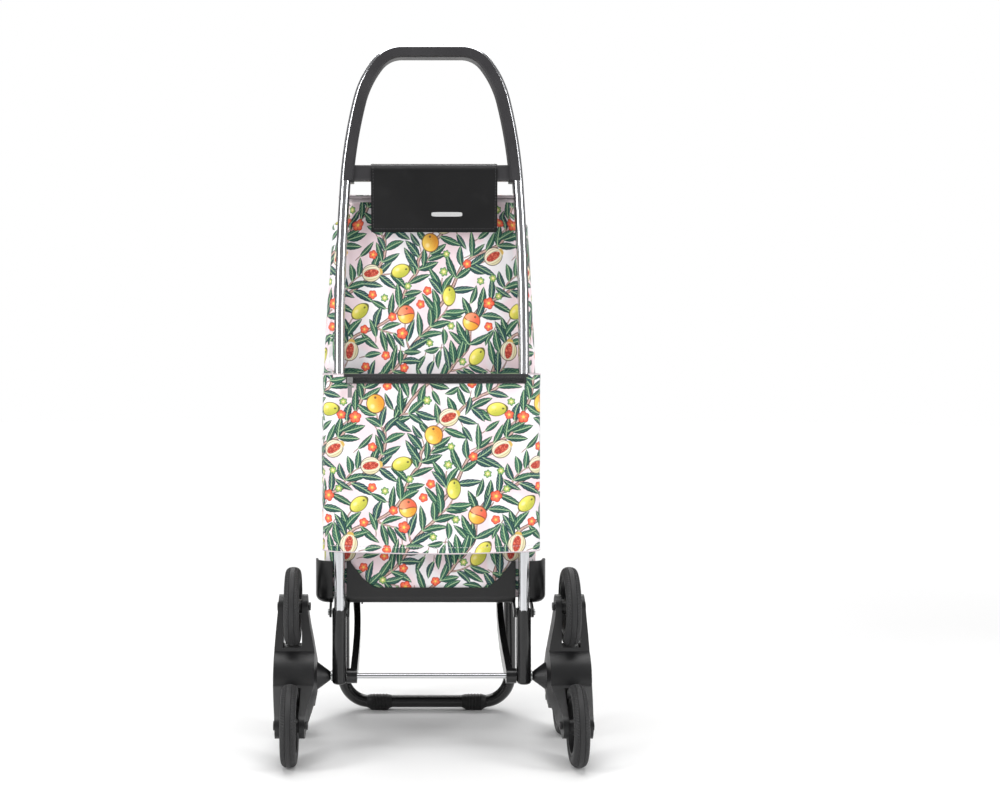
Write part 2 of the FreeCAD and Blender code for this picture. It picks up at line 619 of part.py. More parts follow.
legs = N["stand_top"] - N["stand_low"] - N["stand_bend"]
sb, sl = N["stand_bend"], N["stand_low"]
tx = N["tube_x"]
k = sb * (1 - math.sqrt(0.5))
e1 = Part.LineSegment(Vector(-tx, 0, N["stand_top"]), Vector(-tx, 0, sl + sb)).toShape()
e2 = Part.Arc(Vector(-tx, 0, sl + sb), Vector(-tx + k, 0, sl + k), Vector(-tx + sb, 0, sl)).toShape()
e3 = Part.LineSegment(Vector(-tx + sb, 0, sl), Vector(tx - sb, 0, sl)).toShape()
e4 = Part.Arc(Vector(tx - sb, 0, sl), Vector(tx - k, 0, sl + k), Vector(tx, 0, sl + sb)).toShape()
e5 = Part.LineSegment(Vector(tx, 0, sl + sb), Vector(tx, 0, N["stand_top"])).toShape()
u_path = Part.Wire([e1, e2, e3, e4, e5])
ring = [Part.Wire(Part.Circle(Vector(-tx, 0, N["stand_top"]), Vector(0, 0, -1), r).toShape())
        for r in (N["stand_rad"], N["stand_rad"] - N["stand_wall"])]
stand = sweep(u_path, ring[0]).cut(sweep(u_path, ring[1]))
node(feature("stand_tube_bent", stand, 0, SD, 0), "stand_tube")

plugs = []
for side, tag in ((-1, "left"), (1, "right")):
    x = side * D("tube_x")
    x0, x1 = span(side, D("tube_x") - 10, D("tube_x") + 10)
    name = "stand_plug_" + tag
    head = common(name + "_head",
                  rod_z(name + "_column", x, SD, D("stand_top"), D("stand_pivot") + 12, D("stand_rad")),
                  fuse(name + "_round",
                       rod_x(name + "_eye", x0, x1, SD, D("stand_pivot"), D("stand_rad")),
                       box(name + "_below", x0, x1, SD - 12, SD + 12, D("stand_top") - 1, D("stand_pivot"))))
    whole = fuse(name + "_whole", head,
                 rod_z(name + "_spigot", x, SD, D("stand_top") - 18, D("stand_top") + 1, D("stand_rad") - D("stand_wall")))
    plugs.append(cut(name, whole, rod_x(name + "_bore", x0 - 2, x1 + 2, SD, D("stand_pivot"), 3.0 + D("run_gap"))))
node(fuse("stand_end_plugs_group", *plugs), "stand_end_plugs")

for side, tag in ((-1, "left"), (1, "right")):
    x0, x1 = span(side, 60.0, 97.0)
    name = "stand_foot_" + tag
    outer = fuse(name + "_outer",
                 rod_x(name + "_barrel", x0, x1, SD, D("stand_low"), D("stand_low")),
                 box(name + "_sole", x0, x1, SD - 8, SD + 8, 0, D("stand_low")))
    ribs = [rod_x(name + "_rib%d" % i, x0 + 4 + 7.2 * i, x0 + 6 + 7.2 * i, SD, D("stand_low"), D("stand_low") + 0.9)
            for i in range(5)]
    trimmed = common(name + "_ribbed", fuse(name + "_all", outer, *ribs),
                     box(name + "_keep", x0 - 1, x1 + 1, SD - 20, SD + 20, 0, D("stand_low") + 6))
    node(cut(name + "_clip", trimmed,
             rod_x(name + "_seat", x0 - 2, x1 + 2, SD, D("stand_low"), D("stand_rad"))), name)

# ----------------------------------------------------------------- side braces
for side, tag in ((-1, "left"), (1, "right")):
    name = "brace_" + tag
    body = new_body(name + "_blade")
    L = D("brace_len")
    sk = sketch_on(body, name + "_plan", "XY_Plane")
    # plan: 10 mm thick, bowed 4 mm towards the middle plane
    stations = [(0.0, 0.0), (0.2, 2.3), (0.4, 3.8), (0.6, 3.9), (0.8, 2.6), (1.0, 0.0)]
    inner = [(side * (111.5 - b), L * k_) for k_, b in stations]
    outer = [(side * (121.5 - b), L * k_) for k_, b in reversed(stations)]
    polygon(sk, inner + outer)
    pad = body.newObject("PartDesign::Pad", name + "_pad")
    pad.Profile = sk
    pad.Length = 26
    pad.Midplane = True
    at(body, 0, AXLE_Y, D("axle_z"), Rotation(Vector(1, 0, 0), N["brace_tilt"]))
    body.setExpression("Placement.Rotation.Angle", "Spec.brace_tilt")
    # side view: tapers from the boss to a rounded tip
    tilt = math.radians(N["brace_tilt"])

    def side_view(points, x0, x1, label):
        sb_ = new_body(label)
        s_ = sketch_on(sb_, label + "_sketch", "YZ_Plane")
        polygon(s_, points)
        p_ = sb_.newObject("PartDesign::Pad", label + "_pad")
        p_.Profile = s_
        p_.Length = 80
        at(sb_, x0, AXLE_Y, D("axle_z"), Rotation(Vector(1, 0, 0), N["brace_tilt"]))
        sb_.setExpression("Placement.Rotation.Angle", "Spec.brace_tilt")
        return sb_

    x0, x1 = span(side, 70.0, 150.0)
    tip = [(L + 10 * math.sin(math.radians(a)) - 10, 10 * math.cos(math.radians(a))) for a in range(0, 181, 30)]
    mask = side_view([(-6.0, 10.5), (30.0, 12.8)] + tip + [(30.0, -12.8), (-6.0, -10.5), (-10.0, -6.0), (-10.0, 6.0)],
                     x0, x1, name + "_mask")
    b0, b1 = span(side, 111.5, 126.8)
    whole = fuse(name + "_whole", common(name + "_shaped", body, mask),
                 rod_x(name + "_boss", b0, b1, AXLE_Y, D("axle_z"), 11.0))
    node(cut(name + "_bored", whole,
             rod_x(name + "_bore", b0 - 6, b1 + 6, AXLE_Y, D("axle_z"), D("axle_rad") + D("run_gap"))), name)

# ------------------------------------------------------------------- soft parts
def rounded_rect(half, rear, front, r, z):
    c = r * (1 - math.sqrt(0.5))
    p = [Vector(-half + r, rear, z), Vector(half - r, rear, z), Vector(half - c, rear + c, z), Vector(half, rear + r, z),
         Vector(half, front - r, z), Vector(half - c, front - c, z), Vector(half - r, front, z), Vector(-half + r, front, z),
         Vector(-half + c, front - c, z), Vector(-half, front - r, z), Vector(-half, rear + r, z), Vector(-half + c, rear + c, z)]
    seg = Part.LineSegment
    return Part.Wire([seg(p[0], p[1]).toShape(), Part.Arc(p[1], p[2], p[3]).toShape(), seg(p[3], p[4]).toShape(),
                      Part.Arc(p[4], p[5], p[6]).toShape(), seg(p[6], p[7]).toShape(), Part.Arc(p[7], p[8], p[9]).toShape(),
                      seg(p[9], p[10]).toShape(), Part.Arc(p[10], p[11], p[0]).toShape()])


def bag_solid(shrink, low, top):
    # straight taper up to the shoulders, a short slope inwards, then the drawn-in neck under the lid
    levels = [(N["bag_low"], N["bag_half"]), (N["shoulder_low"], N["shoulder_half"]), (N["shoulder_high"], N["neck_half"]),
              (N["bag_top"], N["bag_half_top"]), (N["bag_top"] + 10.0, N["bag_half_top"])]

    def ring_at(z):
        for (za, ha), (zb, hb) in zip(levels, levels[1:]):
            if z <= zb:
                break
        half = ha + (hb - ha) * (z - za) / (zb - za) - shrink
        f = (z - N["bag_low"]) / (N["bag_top"] - N["bag_low"])
        front = N["bag_front"] + (N["bag_front_top"] - N["bag_front"]) * f - shrink
        return rounded_rect(half, N["bag_rear"] + shrink, front, N["bag_corner"] - shrink, z)

    cuts = [low] + [z for z, _ in levels if low < z < top] + [top]
    parts = [Part.makeLoft([ring_at(a), ring_at(b)], True, True) for a, b in zip(cuts, cuts[1:])]
    return parts[0].fuse(parts[1:])


bag = bag_solid(0.0, N["bag_low"], N["bag_top"]).cut(
    bag_solid(N["bag_wall"], N["bag_low"] + N["bag_wall"], N["bag_top"] + 5.0))
node(feature("bag_body", bag, 0, AXLE_Y, 0), "bag_shell")

# lid: soft crowned cover with a skirt down the front of the bag
lid_rear = N["bag_rear"] + 0.5
section = [(lid_rear, 828.4), (lid_rear, 832.5), (60, 838.0), (110, 842.0), (165, 844.5), (210, 844.0), (236, 839.5),
           (247.6, 828.0), (250.6, 800.0), (251.6, 768.0), (247.6, 768.0), (246.6, 800.0), (244.6, 824.0), (242.0, 828.4)]
lid = yz_prism(section, -N["lid_half"], N["lid_half"])
lid = lid.common(Part.makeLoft([rounded_rect(N["lid_half"], lid_rear, 251.6, 34.0, 760.0),
                                rounded_rect(N["lid_half"], lid_rear, 251.6, 34.0, 850.0)], True, True)
                 .fuse(Part.makeBox(2 * N["lid_half"], 60, 100, Vector(-N["lid_half"], lid_rear, 760))))
# the skirt is cut short at both corners, where the bag's shoulders stand wider than the lid
for sgn in (-1, 1):
    lid = lid.cut(Part.makeBox(60, 80, 50, Vector(102.0 if sgn > 0 else -162.0, 190.0, 757.0)))
node(feature("lid_cover", lid.removeSplitter(), 0, AXLE_Y, 0), "bag_lid")

outer = box("pocket_outer", -D("pocket_half"), D("pocket_half"), AXLE_Y + D("pocket_rear"), AXLE_Y + D("pocket_front"),
            D("pocket_low"), D("pocket_top"))
inner = box("pocket_inner", 14 - D("pocket_half"), D("pocket_half") - 14, AXLE_Y + D("pocket_rear") + D("pocket_wall"),
            AXLE_Y + D("pocket_front") + 5, D("pocket_low") - 5, D("pocket_top") + 5)
node(cut("pocket_cut", outer, inner), "rear_pocket")

zip_rear = AXLE_Y + D("pocket_rear")
node(box("zip_tape_strip", -127.0, 139.0, zip_rear - 2.0, zip_rear, D("zip_z") - 5.5, D("zip_z") + 5.5), "zip_tape")
# slider: wedge body with a bail; it rides along the zip
slider = fuse("zip_slider_parts",
              box("zip_slider_plate", -126.5, -117.5, zip_rear - 5.0, zip_rear - 2.3, D("zip_z") - 4.5, D("zip_z") + 4.5),
              box("zip_slider_bail", -123.6, -120.4, zip_rear - 7.6, zip_rear - 4.5, D("zip_z") - 4.0, D("zip_z") + 0.4))
bail_hole = rod_x("zip_slider_hole", -128.0, -116.0, zip_rear - 6.2, D("zip_z") - 2.4, 1.05)
node(cut("zip_slider_body", slider, bail_hole), "zip_slider")
pull = fuse("zip_pull_parts",
            rod_x("zip_pull_pin", -125.2, -118.8, zip_rear - 6.2, D("zip_z") - 2.4, 1.0),
            box("zip_pull_arm_a", -125.2, -123.9, zip_rear - 7.2, zip_rear - 5.3, D("zip_z") - 9.0, D("zip_z") - 1.6),
            box("zip_pull_arm_b", -120.1, -118.8, zip_rear - 7.2, zip_rear - 5.3, D("zip_z") - 9.0, D("zip_z") - 1.6),
            box("zip_pull_tab", -125.2, -118.8, zip_rear - 7.2, zip_rear - 5.3, D("zip_z") - 26.0, D("zip_z") - 8.5))
node(pull, "zip_pull")

# hanging flap: folded over the cross bar, both leaves hanging down
fo = box("flap_outer", D("flap_x") - D("flap_half"), D("flap_x") + D("flap_half"), AXLE_Y - 12.8, AXLE_Y + 12.8,
         D("flap_low"), D("bar_top") + 2.2)
fi = box("flap_inner", D("flap_x") - D("flap_half") - 5, D("flap_x") + D("flap_half") + 5, AXLE_Y - 11.3, AXLE_Y + 11.3,
         D("flap_low") - 5, D("bar_top") + 0.3)
node(cut("flap_fold", fo, fi), "hanging_flap")

# ------------------------------------------------------------------ check, write
doc.recompute()
bad = [o.Name for o in doc.Objects if any(w in o.State for w in ("Invalid", "Error"))]
if bad:
    raise SystemExit("objects that failed: %s" % ", ".join(bad))
for label, obj in NODES:
    s = obj.Shape
    if s.isNull() or not s.isValid() or not s.Solids:
        raise SystemExit("bad shape in %s" % label)
    if obj.Label != label:
        raise SystemExit("label clash at %s" % label)

os.makedirs("parts", exist_ok=True)
for label, obj in NODES:
    shape = obj.Shape
    shape.exportStep("parts/%s.step" % label)
    print("%-22s solids %d  volume %.0f mm3" % (label, len(shape.Solids), shape.Volume))
print(len(NODES), "nodes")
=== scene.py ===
import math
import random

import bmesh
import bpy
import numpy as np
from mathutils import Matrix, Vector
from mathutils.geometry import delaunay_2d_cdt


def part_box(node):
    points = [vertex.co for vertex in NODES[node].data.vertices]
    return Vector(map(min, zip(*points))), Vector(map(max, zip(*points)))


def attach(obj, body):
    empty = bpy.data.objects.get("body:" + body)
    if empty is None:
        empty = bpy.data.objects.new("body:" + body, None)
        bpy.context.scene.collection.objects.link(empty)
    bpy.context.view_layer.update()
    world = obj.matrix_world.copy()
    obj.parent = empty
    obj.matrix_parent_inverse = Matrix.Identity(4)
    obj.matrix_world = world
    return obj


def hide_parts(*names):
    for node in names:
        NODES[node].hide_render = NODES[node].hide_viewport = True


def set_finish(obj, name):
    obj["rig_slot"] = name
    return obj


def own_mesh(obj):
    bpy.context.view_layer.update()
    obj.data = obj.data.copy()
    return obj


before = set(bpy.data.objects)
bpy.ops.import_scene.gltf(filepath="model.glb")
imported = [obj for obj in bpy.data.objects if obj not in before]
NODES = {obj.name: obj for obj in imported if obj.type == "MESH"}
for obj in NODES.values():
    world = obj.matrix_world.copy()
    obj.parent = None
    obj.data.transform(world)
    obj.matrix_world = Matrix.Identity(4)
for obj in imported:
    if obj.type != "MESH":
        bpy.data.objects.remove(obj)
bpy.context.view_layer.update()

MM = 0.001


def mid(node):
    lo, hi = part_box(node)
    return (lo + hi) / 2


AXLE_Y = mid("axle_rod").y
AXLE_Z = mid("axle_rod").z


def at_d(d_mm):
    """Row-frame Y of a point d millimetres forward of the axle."""
    return AXLE_Y + d_mm * MM


# =====================================================================================================
# node helpers
# =====================================================================================================
class Net:
    """Small helper that builds a shader node tree from function calls."""

    def __init__(self, name):
        self.mat = bpy.data.materials.new(name)
        self.mat.use_nodes = True
        self.t = self.mat.node_tree
        self.t.nodes.clear()
        self.out = self.t.nodes.new("ShaderNodeOutputMaterial")
        self.bsdf = self.t.nodes.new("ShaderNodeBsdfPrincipled")
        self.t.links.new(self.bsdf.outputs[0], self.out.inputs["Surface"])

    def put(self, socket, value):
        if isinstance(value, bpy.types.NodeSocket):
            self.t.links.new(value, socket)
        elif isinstance(value, (tuple, list)) and len(value) == 3 and socket.type == "RGBA":
            socket.default_value = (*value, 1.0)
        else:
            socket.default_value = value

    def m(self, op, a, b=0.0, c=None, clamp=False):
        n = self.t.nodes.new("ShaderNodeMath")
        n.operation = op
        n.use_clamp = clamp
        self.put(n.inputs[0], a)
        self.put(n.inputs[1], b)
        if c is not None:
            self.put(n.inputs[2], c)
        return n.outputs[0]

    def add(self, a, b):
        return self.m("ADD", a, b)

    def sub(self, a, b):
        return self.m("SUBTRACT", a, b)

    def mul(self, a, b):
        return self.m("MULTIPLY", a, b)

    def step(self, a, lo, hi):
        """0 below lo, 1 above hi, smooth between (works with hi below lo too)."""
        n = self.t.nodes.new("ShaderNodeMapRange")
        n.interpolation_type = "SMOOTHSTEP"
        self.put(n.inputs["Value"], a)
        self.put(n.inputs["From Min"], min(lo, hi))
        self.put(n.inputs["From Max"], max(lo, hi))
        n.inputs["To Min"].default_value = 0.0 if hi > lo else 1.0
        n.inputs["To Max"].default_value = 1.0 if hi > lo else 0.0
        return n.outputs["Result"]

    def mix(self, fac, a, b, mode="MIX"):
        n = self.t.nodes.new("ShaderNodeMix")
        n.data_type = "RGBA"
        n.blend_type = mode
        self.put(n.inputs["Factor"], fac)
        self.put(n.inputs["A"], a) if False else self.put(n.inputs[6], a)
        self.put(n.inputs[7], b)
        return n.outputs[2]

    def xyz(self, vec):
        n = self.t.nodes.new("ShaderNodeSeparateXYZ")
        self.put(n.inputs[0], vec)
        return n.outputs[0], n.outputs[1], n.outputs[2]

    def vec(self, x, y, z=0.0):
        n = self.t.nodes.new("ShaderNodeCombineXYZ")
        for i, v in enumerate((x, y, z)):
            self.put(n.inputs[i], v)
        return n.outputs[0]

    def uv(self, name):
        n = self.t.nodes.new("ShaderNodeUVMap")
        n.uv_map = name
        return n.outputs[0]

    def attr(self, name, out="Fac"):
        n = self.t.nodes.new("ShaderNodeAttribute")
        n.attribute_name = name
        return n.outputs[out]

    def obj(self):
        return self.t.nodes.new("ShaderNodeTexCoord").outputs["Object"]

    def scaled(self, vec, s):
        n = self.t.nodes.new("ShaderNodeVectorMath")
        n.operation = "MULTIPLY"
        self.put(n.inputs[0], vec)
        n.inputs[1].default_value = s if isinstance(s, (tuple, list)) else (s, s, s)
        return n.outputs[0]

    def noise(self, vec, scale, detail=2.0, rough=0.5, out="Fac"):
        n = self.t.nodes.new("ShaderNodeTexNoise")
        self.put(n.inputs["Vector"], vec)
        n.inputs["Scale"].default_value = scale
        n.inputs["Detail"].default_value = detail
        n.inputs["Roughness"].default_value = rough
        return n.outputs[out]

    def voronoi(self, vec, scale, feature="F1", out="Distance"):
        n = self.t.nodes.new("ShaderNodeTexVoronoi")
        n.feature = feature
        self.put(n.inputs["Vector"], vec)
        n.inputs["Scale"].default_value = scale
        return n.outputs[out]

    def bump(self, height, strength=0.3, distance=0.001, normal=None):
        n = self.t.nodes.new("ShaderNodeBump")
        n.inputs["Strength"].default_value = strength
        n.inputs["Distance"].default_value = distance
        self.put(n.inputs["Height"], height)
        if normal is not None:
            self.put(n.inputs["Normal"], normal)
        return n.outputs[0]

    def set(self, **kw):
        names = {"color": "Base Color", "rough": "Roughness", "metal": "Metallic", "normal": "Normal", "coat": "Coat Weight",
                 "coat_rough": "Coat Roughness", "sheen": "Sheen Weight", "sheen_rough": "Sheen Roughness",
                 "spec": "Specular IOR Level", "aniso": "Anisotropic", "alpha": "Alpha"}
        for k, v in kw.items():
            self.put(self.bsdf.inputs[names[k]], v)
        return self.mat


def srgb(r, g, b):
    """Screen colour 0-255 to linear."""
    def lin(c):
        c /= 255.0
        return c / 12.92 if c <= 0.04045 else ((c + 0.055) / 1.055) ** 2.4
    return (lin(r), lin(g), lin(b))


# =====================================================================================================
# the printed cloth: one repeat of a climbing fruit branch, drawn as regions of the cloth's own mesh
# =====================================================================================================
TILE_W, TILE_H = 250.0, 303.5      # mm; the print repeats every tile
GROUND, STEM, LEAF, LEMON, ORANGE, POME, FLOWER, BUD = range(8)


def build_tile(seed=11):
    rnd = random.Random(seed)
    shapes = []       # (kind, z order, polygon points, frame function args, rnd value)
    W, H = TILE_W, TILE_H

    def rot(x, y, a):
        c, s = math.cos(a), math.sin(a)
        return x * c - y * s, x * s + y * c

    def leaf_width(a):
        return max(0.0, math.sin(math.pi * min(max(a, 0.0), 1.0) ** 0.85)) ** 0.8

    def leaf(x, y, ang, length, wide, bend):
        n = 11
        left, right = [], []
        for i in range(n + 1):
            a = i / n
            w = wide * 0.5 * leaf_width(a)
            if 0 < i < n:
                w *= 1.0 + (0.07 if i % 2 else -0.03)
            off = bend * math.sin(math.pi * a)
            left.append((a * length, off + w))
            right.append((a * length, off - w))
        pts = left[:-1] + [((length), 0.0)] + right[1:-1][::-1]
        pts = [(x + rot(px, py, ang)[0], y + rot(px, py, ang)[1]) for px, py in pts]
        shapes.append((LEAF, 2, pts, (x, y, ang, length, wide, bend), rnd.random()))

    def blob(kind, z, x, y, ang, a, b, n, fun=None):
        pts = []
        for i in range(n):
            t = 2 * math.pi * i / n
            r = fun(t) if fun else 1.0
            px, py = rot(a * r * math.cos(t), b * r * math.sin(t), ang)
            pts.append((x + px, y + py))
        shapes.append((kind, z, pts, (x, y, ang, a, b), rnd.random()))

    def strip(path, w0, w1):
        """A stem: polygon strip along a polyline, tapering from w0 to w1."""
        n = len(path)
        left, right, acc = [], [], [0.0]
        for i in range(1, n):
            acc.append(acc[-1] + math.dist(path[i], path[i - 1]))
        for i, (px, py) in enumerate(path):
            q0, q1 = path[max(i - 1, 0)], path[min(i + 1, n - 1)]
            tx, ty = q1[0] - q0[0], q1[1] - q0[1]
            l = math.hypot(tx, ty) or 1.0
            w = (w0 + (w1 - w0) * acc[i] / acc[-1]) * 0.5 * (1.0 + 0.10 * math.sin(i * 1.9))
            nx, ny = -ty / l * w, tx / l * w
            left.append((px + nx, py + ny))
            right.append((px - nx, py - ny))
        shapes.append((STEM, 1, left + right[::-1], ("path", path, w0, w1), rnd.random()))

    placed = []       # occupancy discs (x, y, r)

    def free(x, y, r, slack=1.0):
        for px, py, pr in placed:
            dx = abs(x - px) % W
            dy = abs(y - py) % H
            dx, dy = min(dx, W - dx), min(dy, H - dy)
            if math.hypot(dx, dy) < (r + pr) * slack:
                return False
        return True

    def keep(x, y, r):
        placed.append((x % W, y % H, r))

    def try_leaf(x, y, ang, length, wide):
        mx, my = x + rot(length * 0.62, 0, ang)[0], y + rot(length * 0.62, 0, ang)[1]
        m2 = x + rot(length * 0.3, 0, ang)[0], y + rot(length * 0.3, 0, ang)[1]
        if free(mx, my, wide * 0.46, 0.93):
            leaf(x, y, ang, length, wide, rnd.uniform(-2.6, 2.6))
            keep(mx, my, wide * 0.46)
            keep(m2[0], m2[1], wide * 0.34)
            return True
        return False

    # main climbing stems: each rises one tile while it moves one tile sideways, so they join up
    mains = []
    for k, (x0, ph, amp) in enumerate(((20.0, 0.3, 13.0), (103.0, 2.2, 15.0), (186.0, 4.4, 12.0))):
        path = []
        n = 46
        for i in range(n + 1):
            t = i / n
            x = x0 + W * t + amp * math.sin(2 * math.pi * (2 * t) + ph) + 4.0 * math.sin(2 * math.pi * 5 * t + ph)
            y = H * t + 7.0 * math.sin(2 * math.pi * (3 * t) + 2 * ph)
            path.append((x, y))
        mains.append(path)
        strip(path, 5.4, 5.4)

    # side branches with a fruit or flower at the end
    tips = []
    heads = ["lemon", "orange", "flower", "pome", "lemon", "orange", "bud", "pome", "lemon", "flower", "orange", "pome",
             "lemon", "flower", "orange", "lemon", "bud", "pome", "flower", "orange"]
    hi = 0
    branches = []
    for path in mains:
        for j, i in enumerate(range(3, 45, 6)):
            px, py = path[i]
            qx, qy = path[i + 1]
            base = math.atan2(qy - py, qx - px)
            side = 1 if j % 2 else -1
            ang = base + side * rnd.uniform(0.75, 1.05)
            length = rnd.uniform(30, 43)
            pts = []
            a = ang
            x, y = px, py
            steps = 7
            curl = -side * rnd.uniform(0.05, 0.14)
            for _ in range(steps + 1):
                pts.append((x, y))
                x += math.cos(a) * length / steps
                y += math.sin(a) * length / steps
                a += curl
            head = heads[hi % len(heads)]
            size = {"lemon": 15, "orange": 15, "pome": 17, "flower": 9, "bud": 8}[head]
            hx, hy = x + math.cos(a) * size * 0.55, y + math.sin(a) * size * 0.55
            if free(hx, hy, size * 0.92):
                hi += 1
                keep(hx, hy, size * 0.92)
                branches.append(pts)
                tips.append((head, hx, hy, a))
                strip(pts, 3.4, 2.0)
    for head, x, y, a in tips:
        if head == "lemon":
            f = lambda t: 1.0 + 0.13 * max(0.0, math.cos(t)) ** 10 + 0.05 * max(0.0, -math.cos(t)) ** 8
            blob(LEMON, 5, x, y, a, 15.2, 10.6, 26, f)
        elif head == "orange":
            blob(ORANGE, 5, x, y, a, 14.6, 14.0, 26)
        elif head == "pome":
            f = lambda t: 1.0 + (0.17 if abs(math.atan2(math.sin(t), math.cos(t))) < 0.30 else 0.0)
            blob(POME, 5, x, y, a, 15.5, 13.6, 30, f)
        elif head == "flower":
            f = lambda t: 0.80 + 0.20 * abs(math.cos(2.5 * t))
            blob(FLOWER, 4, x, y, a, 9.4, 9.4, 30, f)
        else:
            f = lambda t: 0.70 + 0.30 * abs(math.cos(3 * t))
            blob(BUD, 4, x, y, a, 7.6, 7.6, 24, f)

    # leaves along the side branches, then along the main stems, then on short twigs in the gaps
    for pts in branches:
        for i in (2, 4, 6):
            px, py = pts[i]
            base = math.atan2(pts[i][1] - pts[i - 1][1], pts[i][0] - pts[i - 1][0])
            for side in (-1, 1):
                if rnd.random() < 0.85:
                    try_leaf(px, py, base + side * rnd.uniform(0.5, 0.95), rnd.uniform(27, 38), rnd.uniform(9.4, 12.0))
    for path in mains:
        for i in range(1, 46, 2):
            px, py = path[i]
            base = math.atan2(path[i][1] - path[i - 1][1], path[i][0] - path[i - 1][0])
            for side in (-1, 1):
                for _ in range(2):
                    if try_leaf(px, py, base + side * rnd.uniform(0.45, 1.2), rnd.uniform(29, 42), rnd.uniform(9.8, 13.0)):
                        break
    for _ in range(2600):
        x, y = rnd.uniform(0, W), rnd.uniform(0, H)
        a = rnd.uniform(-math.pi, math.pi)
        length, wide = rnd.uniform(23, 33), rnd.uniform(8.6, 10.8)
        ok = all(free(x + rot(length * k, 0, a)[0], y + rot(length * k, 0, a)[1], wide * 0.45) for k in (0.1, 0.5, 0.9))
        if ok:
            leaf(x, y, a, length, wide, rnd.uniform(-2.5, 2.5))
            for k in (0.2, 0.5, 0.8):
                keep(x + rot(length * k, 0, a)[0], y + rot(length * k, 0, a)[1], wide * 0.42)
            # a thin twig behind each loose leaf
            bx, by = rot(-9, 0, a + rnd.uniform(-0.5, 0.5))
            strip([(x + bx, y + by), (x + bx * 0.5, y + by * 0.5 + 0.4), (x + rot(3, 0, a)[0], y + rot(3, 0, a)[1])], 1.2, 1.7)
    # small filler flowers
    for _ in range(900):
        x, y = rnd.uniform(0, W), rnd.uniform(0, H)
        if free(x, y, 6.4, 0.97):
            if rnd.random() < 0.5:
                blob(FLOWER, 4, x, y, rnd.uniform(0, 6), 7.2, 7.2, 30, lambda t: 0.80 + 0.20 * abs(math.cos(2.5 * t)))
            else:
                blob(BUD, 4, x, y, rnd.uniform(0, 6), 6.6, 6.6, 24, lambda t: 0.70 + 0.30 * abs(math.cos(3 * t)))
            keep(x, y, 6.4)
    return shapes


def triangulate_tile(shapes, pitch=9.0):
    """Cuts one tile of cloth along the outlines of all its shapes. Returns flat vertices, faces, and per face its
    kind, its motif coordinates at each corner and a random number."""
    W, H = TILE_W, TILE_H
    verts, faces, owner = [], [], []

    def add_poly(pts, who):
        idx = []
        turn = sum(pts[i - 1][0] * pts[i][1] - pts[i][0] * pts[i - 1][1] for i in range(len(pts)))
        if turn < 0:
            pts = pts[::-1]
        for p in pts:
            verts.append(Vector((p[0], p[1])))
            idx.append(len(verts) - 1)
        faces.append(idx)
        owner.append(who)

    add_poly([(0, 0), (W, 0), (W, H), (0, H)], None)
    for s in shapes:
        xs = [p[0] for p in s[2]]
        ys = [p[1] for p in s[2]]
        for ox in (-2 * W, -W, 0, W):
            for oy in (-H, 0, H):
                if max(xs) + ox < -1 or min(xs) + ox > W + 1 or max(ys) + oy < -1 or min(ys) + oy > H + 1:
                    continue
                add_poly([(p[0] + ox, p[1] + oy) for p in s[2]], (s, ox, oy))
    nx, ny = round(W / pitch), round(H / pitch)
    for i in range(nx + 1):
        for j in range(ny + 1):
            jx = 0.0 if i in (0, nx) else ((i * 7 + j * 3) % 5 - 2) * 0.25
            jy = 0.0 if j in (0, ny) else ((i * 5 + j * 11) % 7 - 3) * 0.2
            verts.append(Vector((W * i / nx + jx, H * j / ny + jy)))
    vo, eo, fo, ov, oe, of_ = delaunay_2d_cdt(verts, [], faces, 0, 1e-4)
    out_v = [(v.x, v.y) for v in vo]
    tris, kinds, uvs, rnds = [], [], [], []
    for f, orig in zip(fo, of_):
        cx = sum(out_v[i][0] for i in f) / len(f)
        cy = sum(out_v[i][1] for i in f) / len(f)
        if not (0 <= cx <= W and 0 <= cy <= H) or 0 not in orig:
            continue
        best = None
        for o in orig:
            w = owner[o]
            if w is not None and (best is None or (w[0][1], w[0][4]) > (best[0][1], best[0][4])):
                best = w
        tris.append(list(f))
        if best is None:
            kinds.append(GROUND)
            uvs.append([(0.0, 0.0)] * len(f))
            rnds.append(0.5)
            continue
        s, ox, oy = best
        kinds.append(s[0])
        rnds.append(s[4])
        loc = []
        for i in f:
            x, y = out_v[i][0] - ox, out_v[i][1] - oy
            par = s[3]
            if par[0] == "path":
                path, w0, w1 = par[1], par[2], par[3]
                bestd, res, acc = 1e9, (0, 0), 0.0
                for k in range(len(path) - 1):
                    ax, ay = path[k]
                    bx, by = path[k + 1]
                    dx, dy = bx - ax, by - ay
                    L2 = dx * dx + dy * dy
                    t = max(0.0, min(1.0, ((x - ax) * dx + (y - ay) * dy) / L2))
                    qx, qy = ax + dx * t, ay + dy * t
                    d = math.hypot(x - qx, y - qy)
                    if d < bestd:
                        bestd = d
                        sgn = 1 if dx * (y - ay) - dy * (x - ax) > 0 else -1
                        res = (acc + t * math.sqrt(L2), sgn * d)
                    acc += math.sqrt(L2)
                w = (w0 + (w1 - w0) * res[0] / acc) * 0.5
                loc.append((res[0] / 10.0, res[1] / w))
            elif s[0] == LEAF:
                lx, ly = x - par[0], y - par[1]
                c, sn = math.cos(-par[2]), math.sin(-par[2])
                a = (lx * c - ly * sn) / par[3]
                b = (lx * sn + ly * c) - par[5] * math.sin(math.pi * min(max(a, 0), 1))
                loc.append((a, b / (par[4] * 0.5)))
            else:
                lx, ly = x - par[0], y - par[1]
                c, sn = math.cos(-par[2]), math.sin(-par[2])
                loc.append(((lx * c - ly * sn) / par[3], (lx * sn + ly * c) / par[4]))
        uvs.append(loc)
    return out_v, tris, kinds, uvs, rnds


TILE = triangulate_tile(build_tile())
print("tile", len(TILE[0]), "verts", len(TILE[1]), "faces")


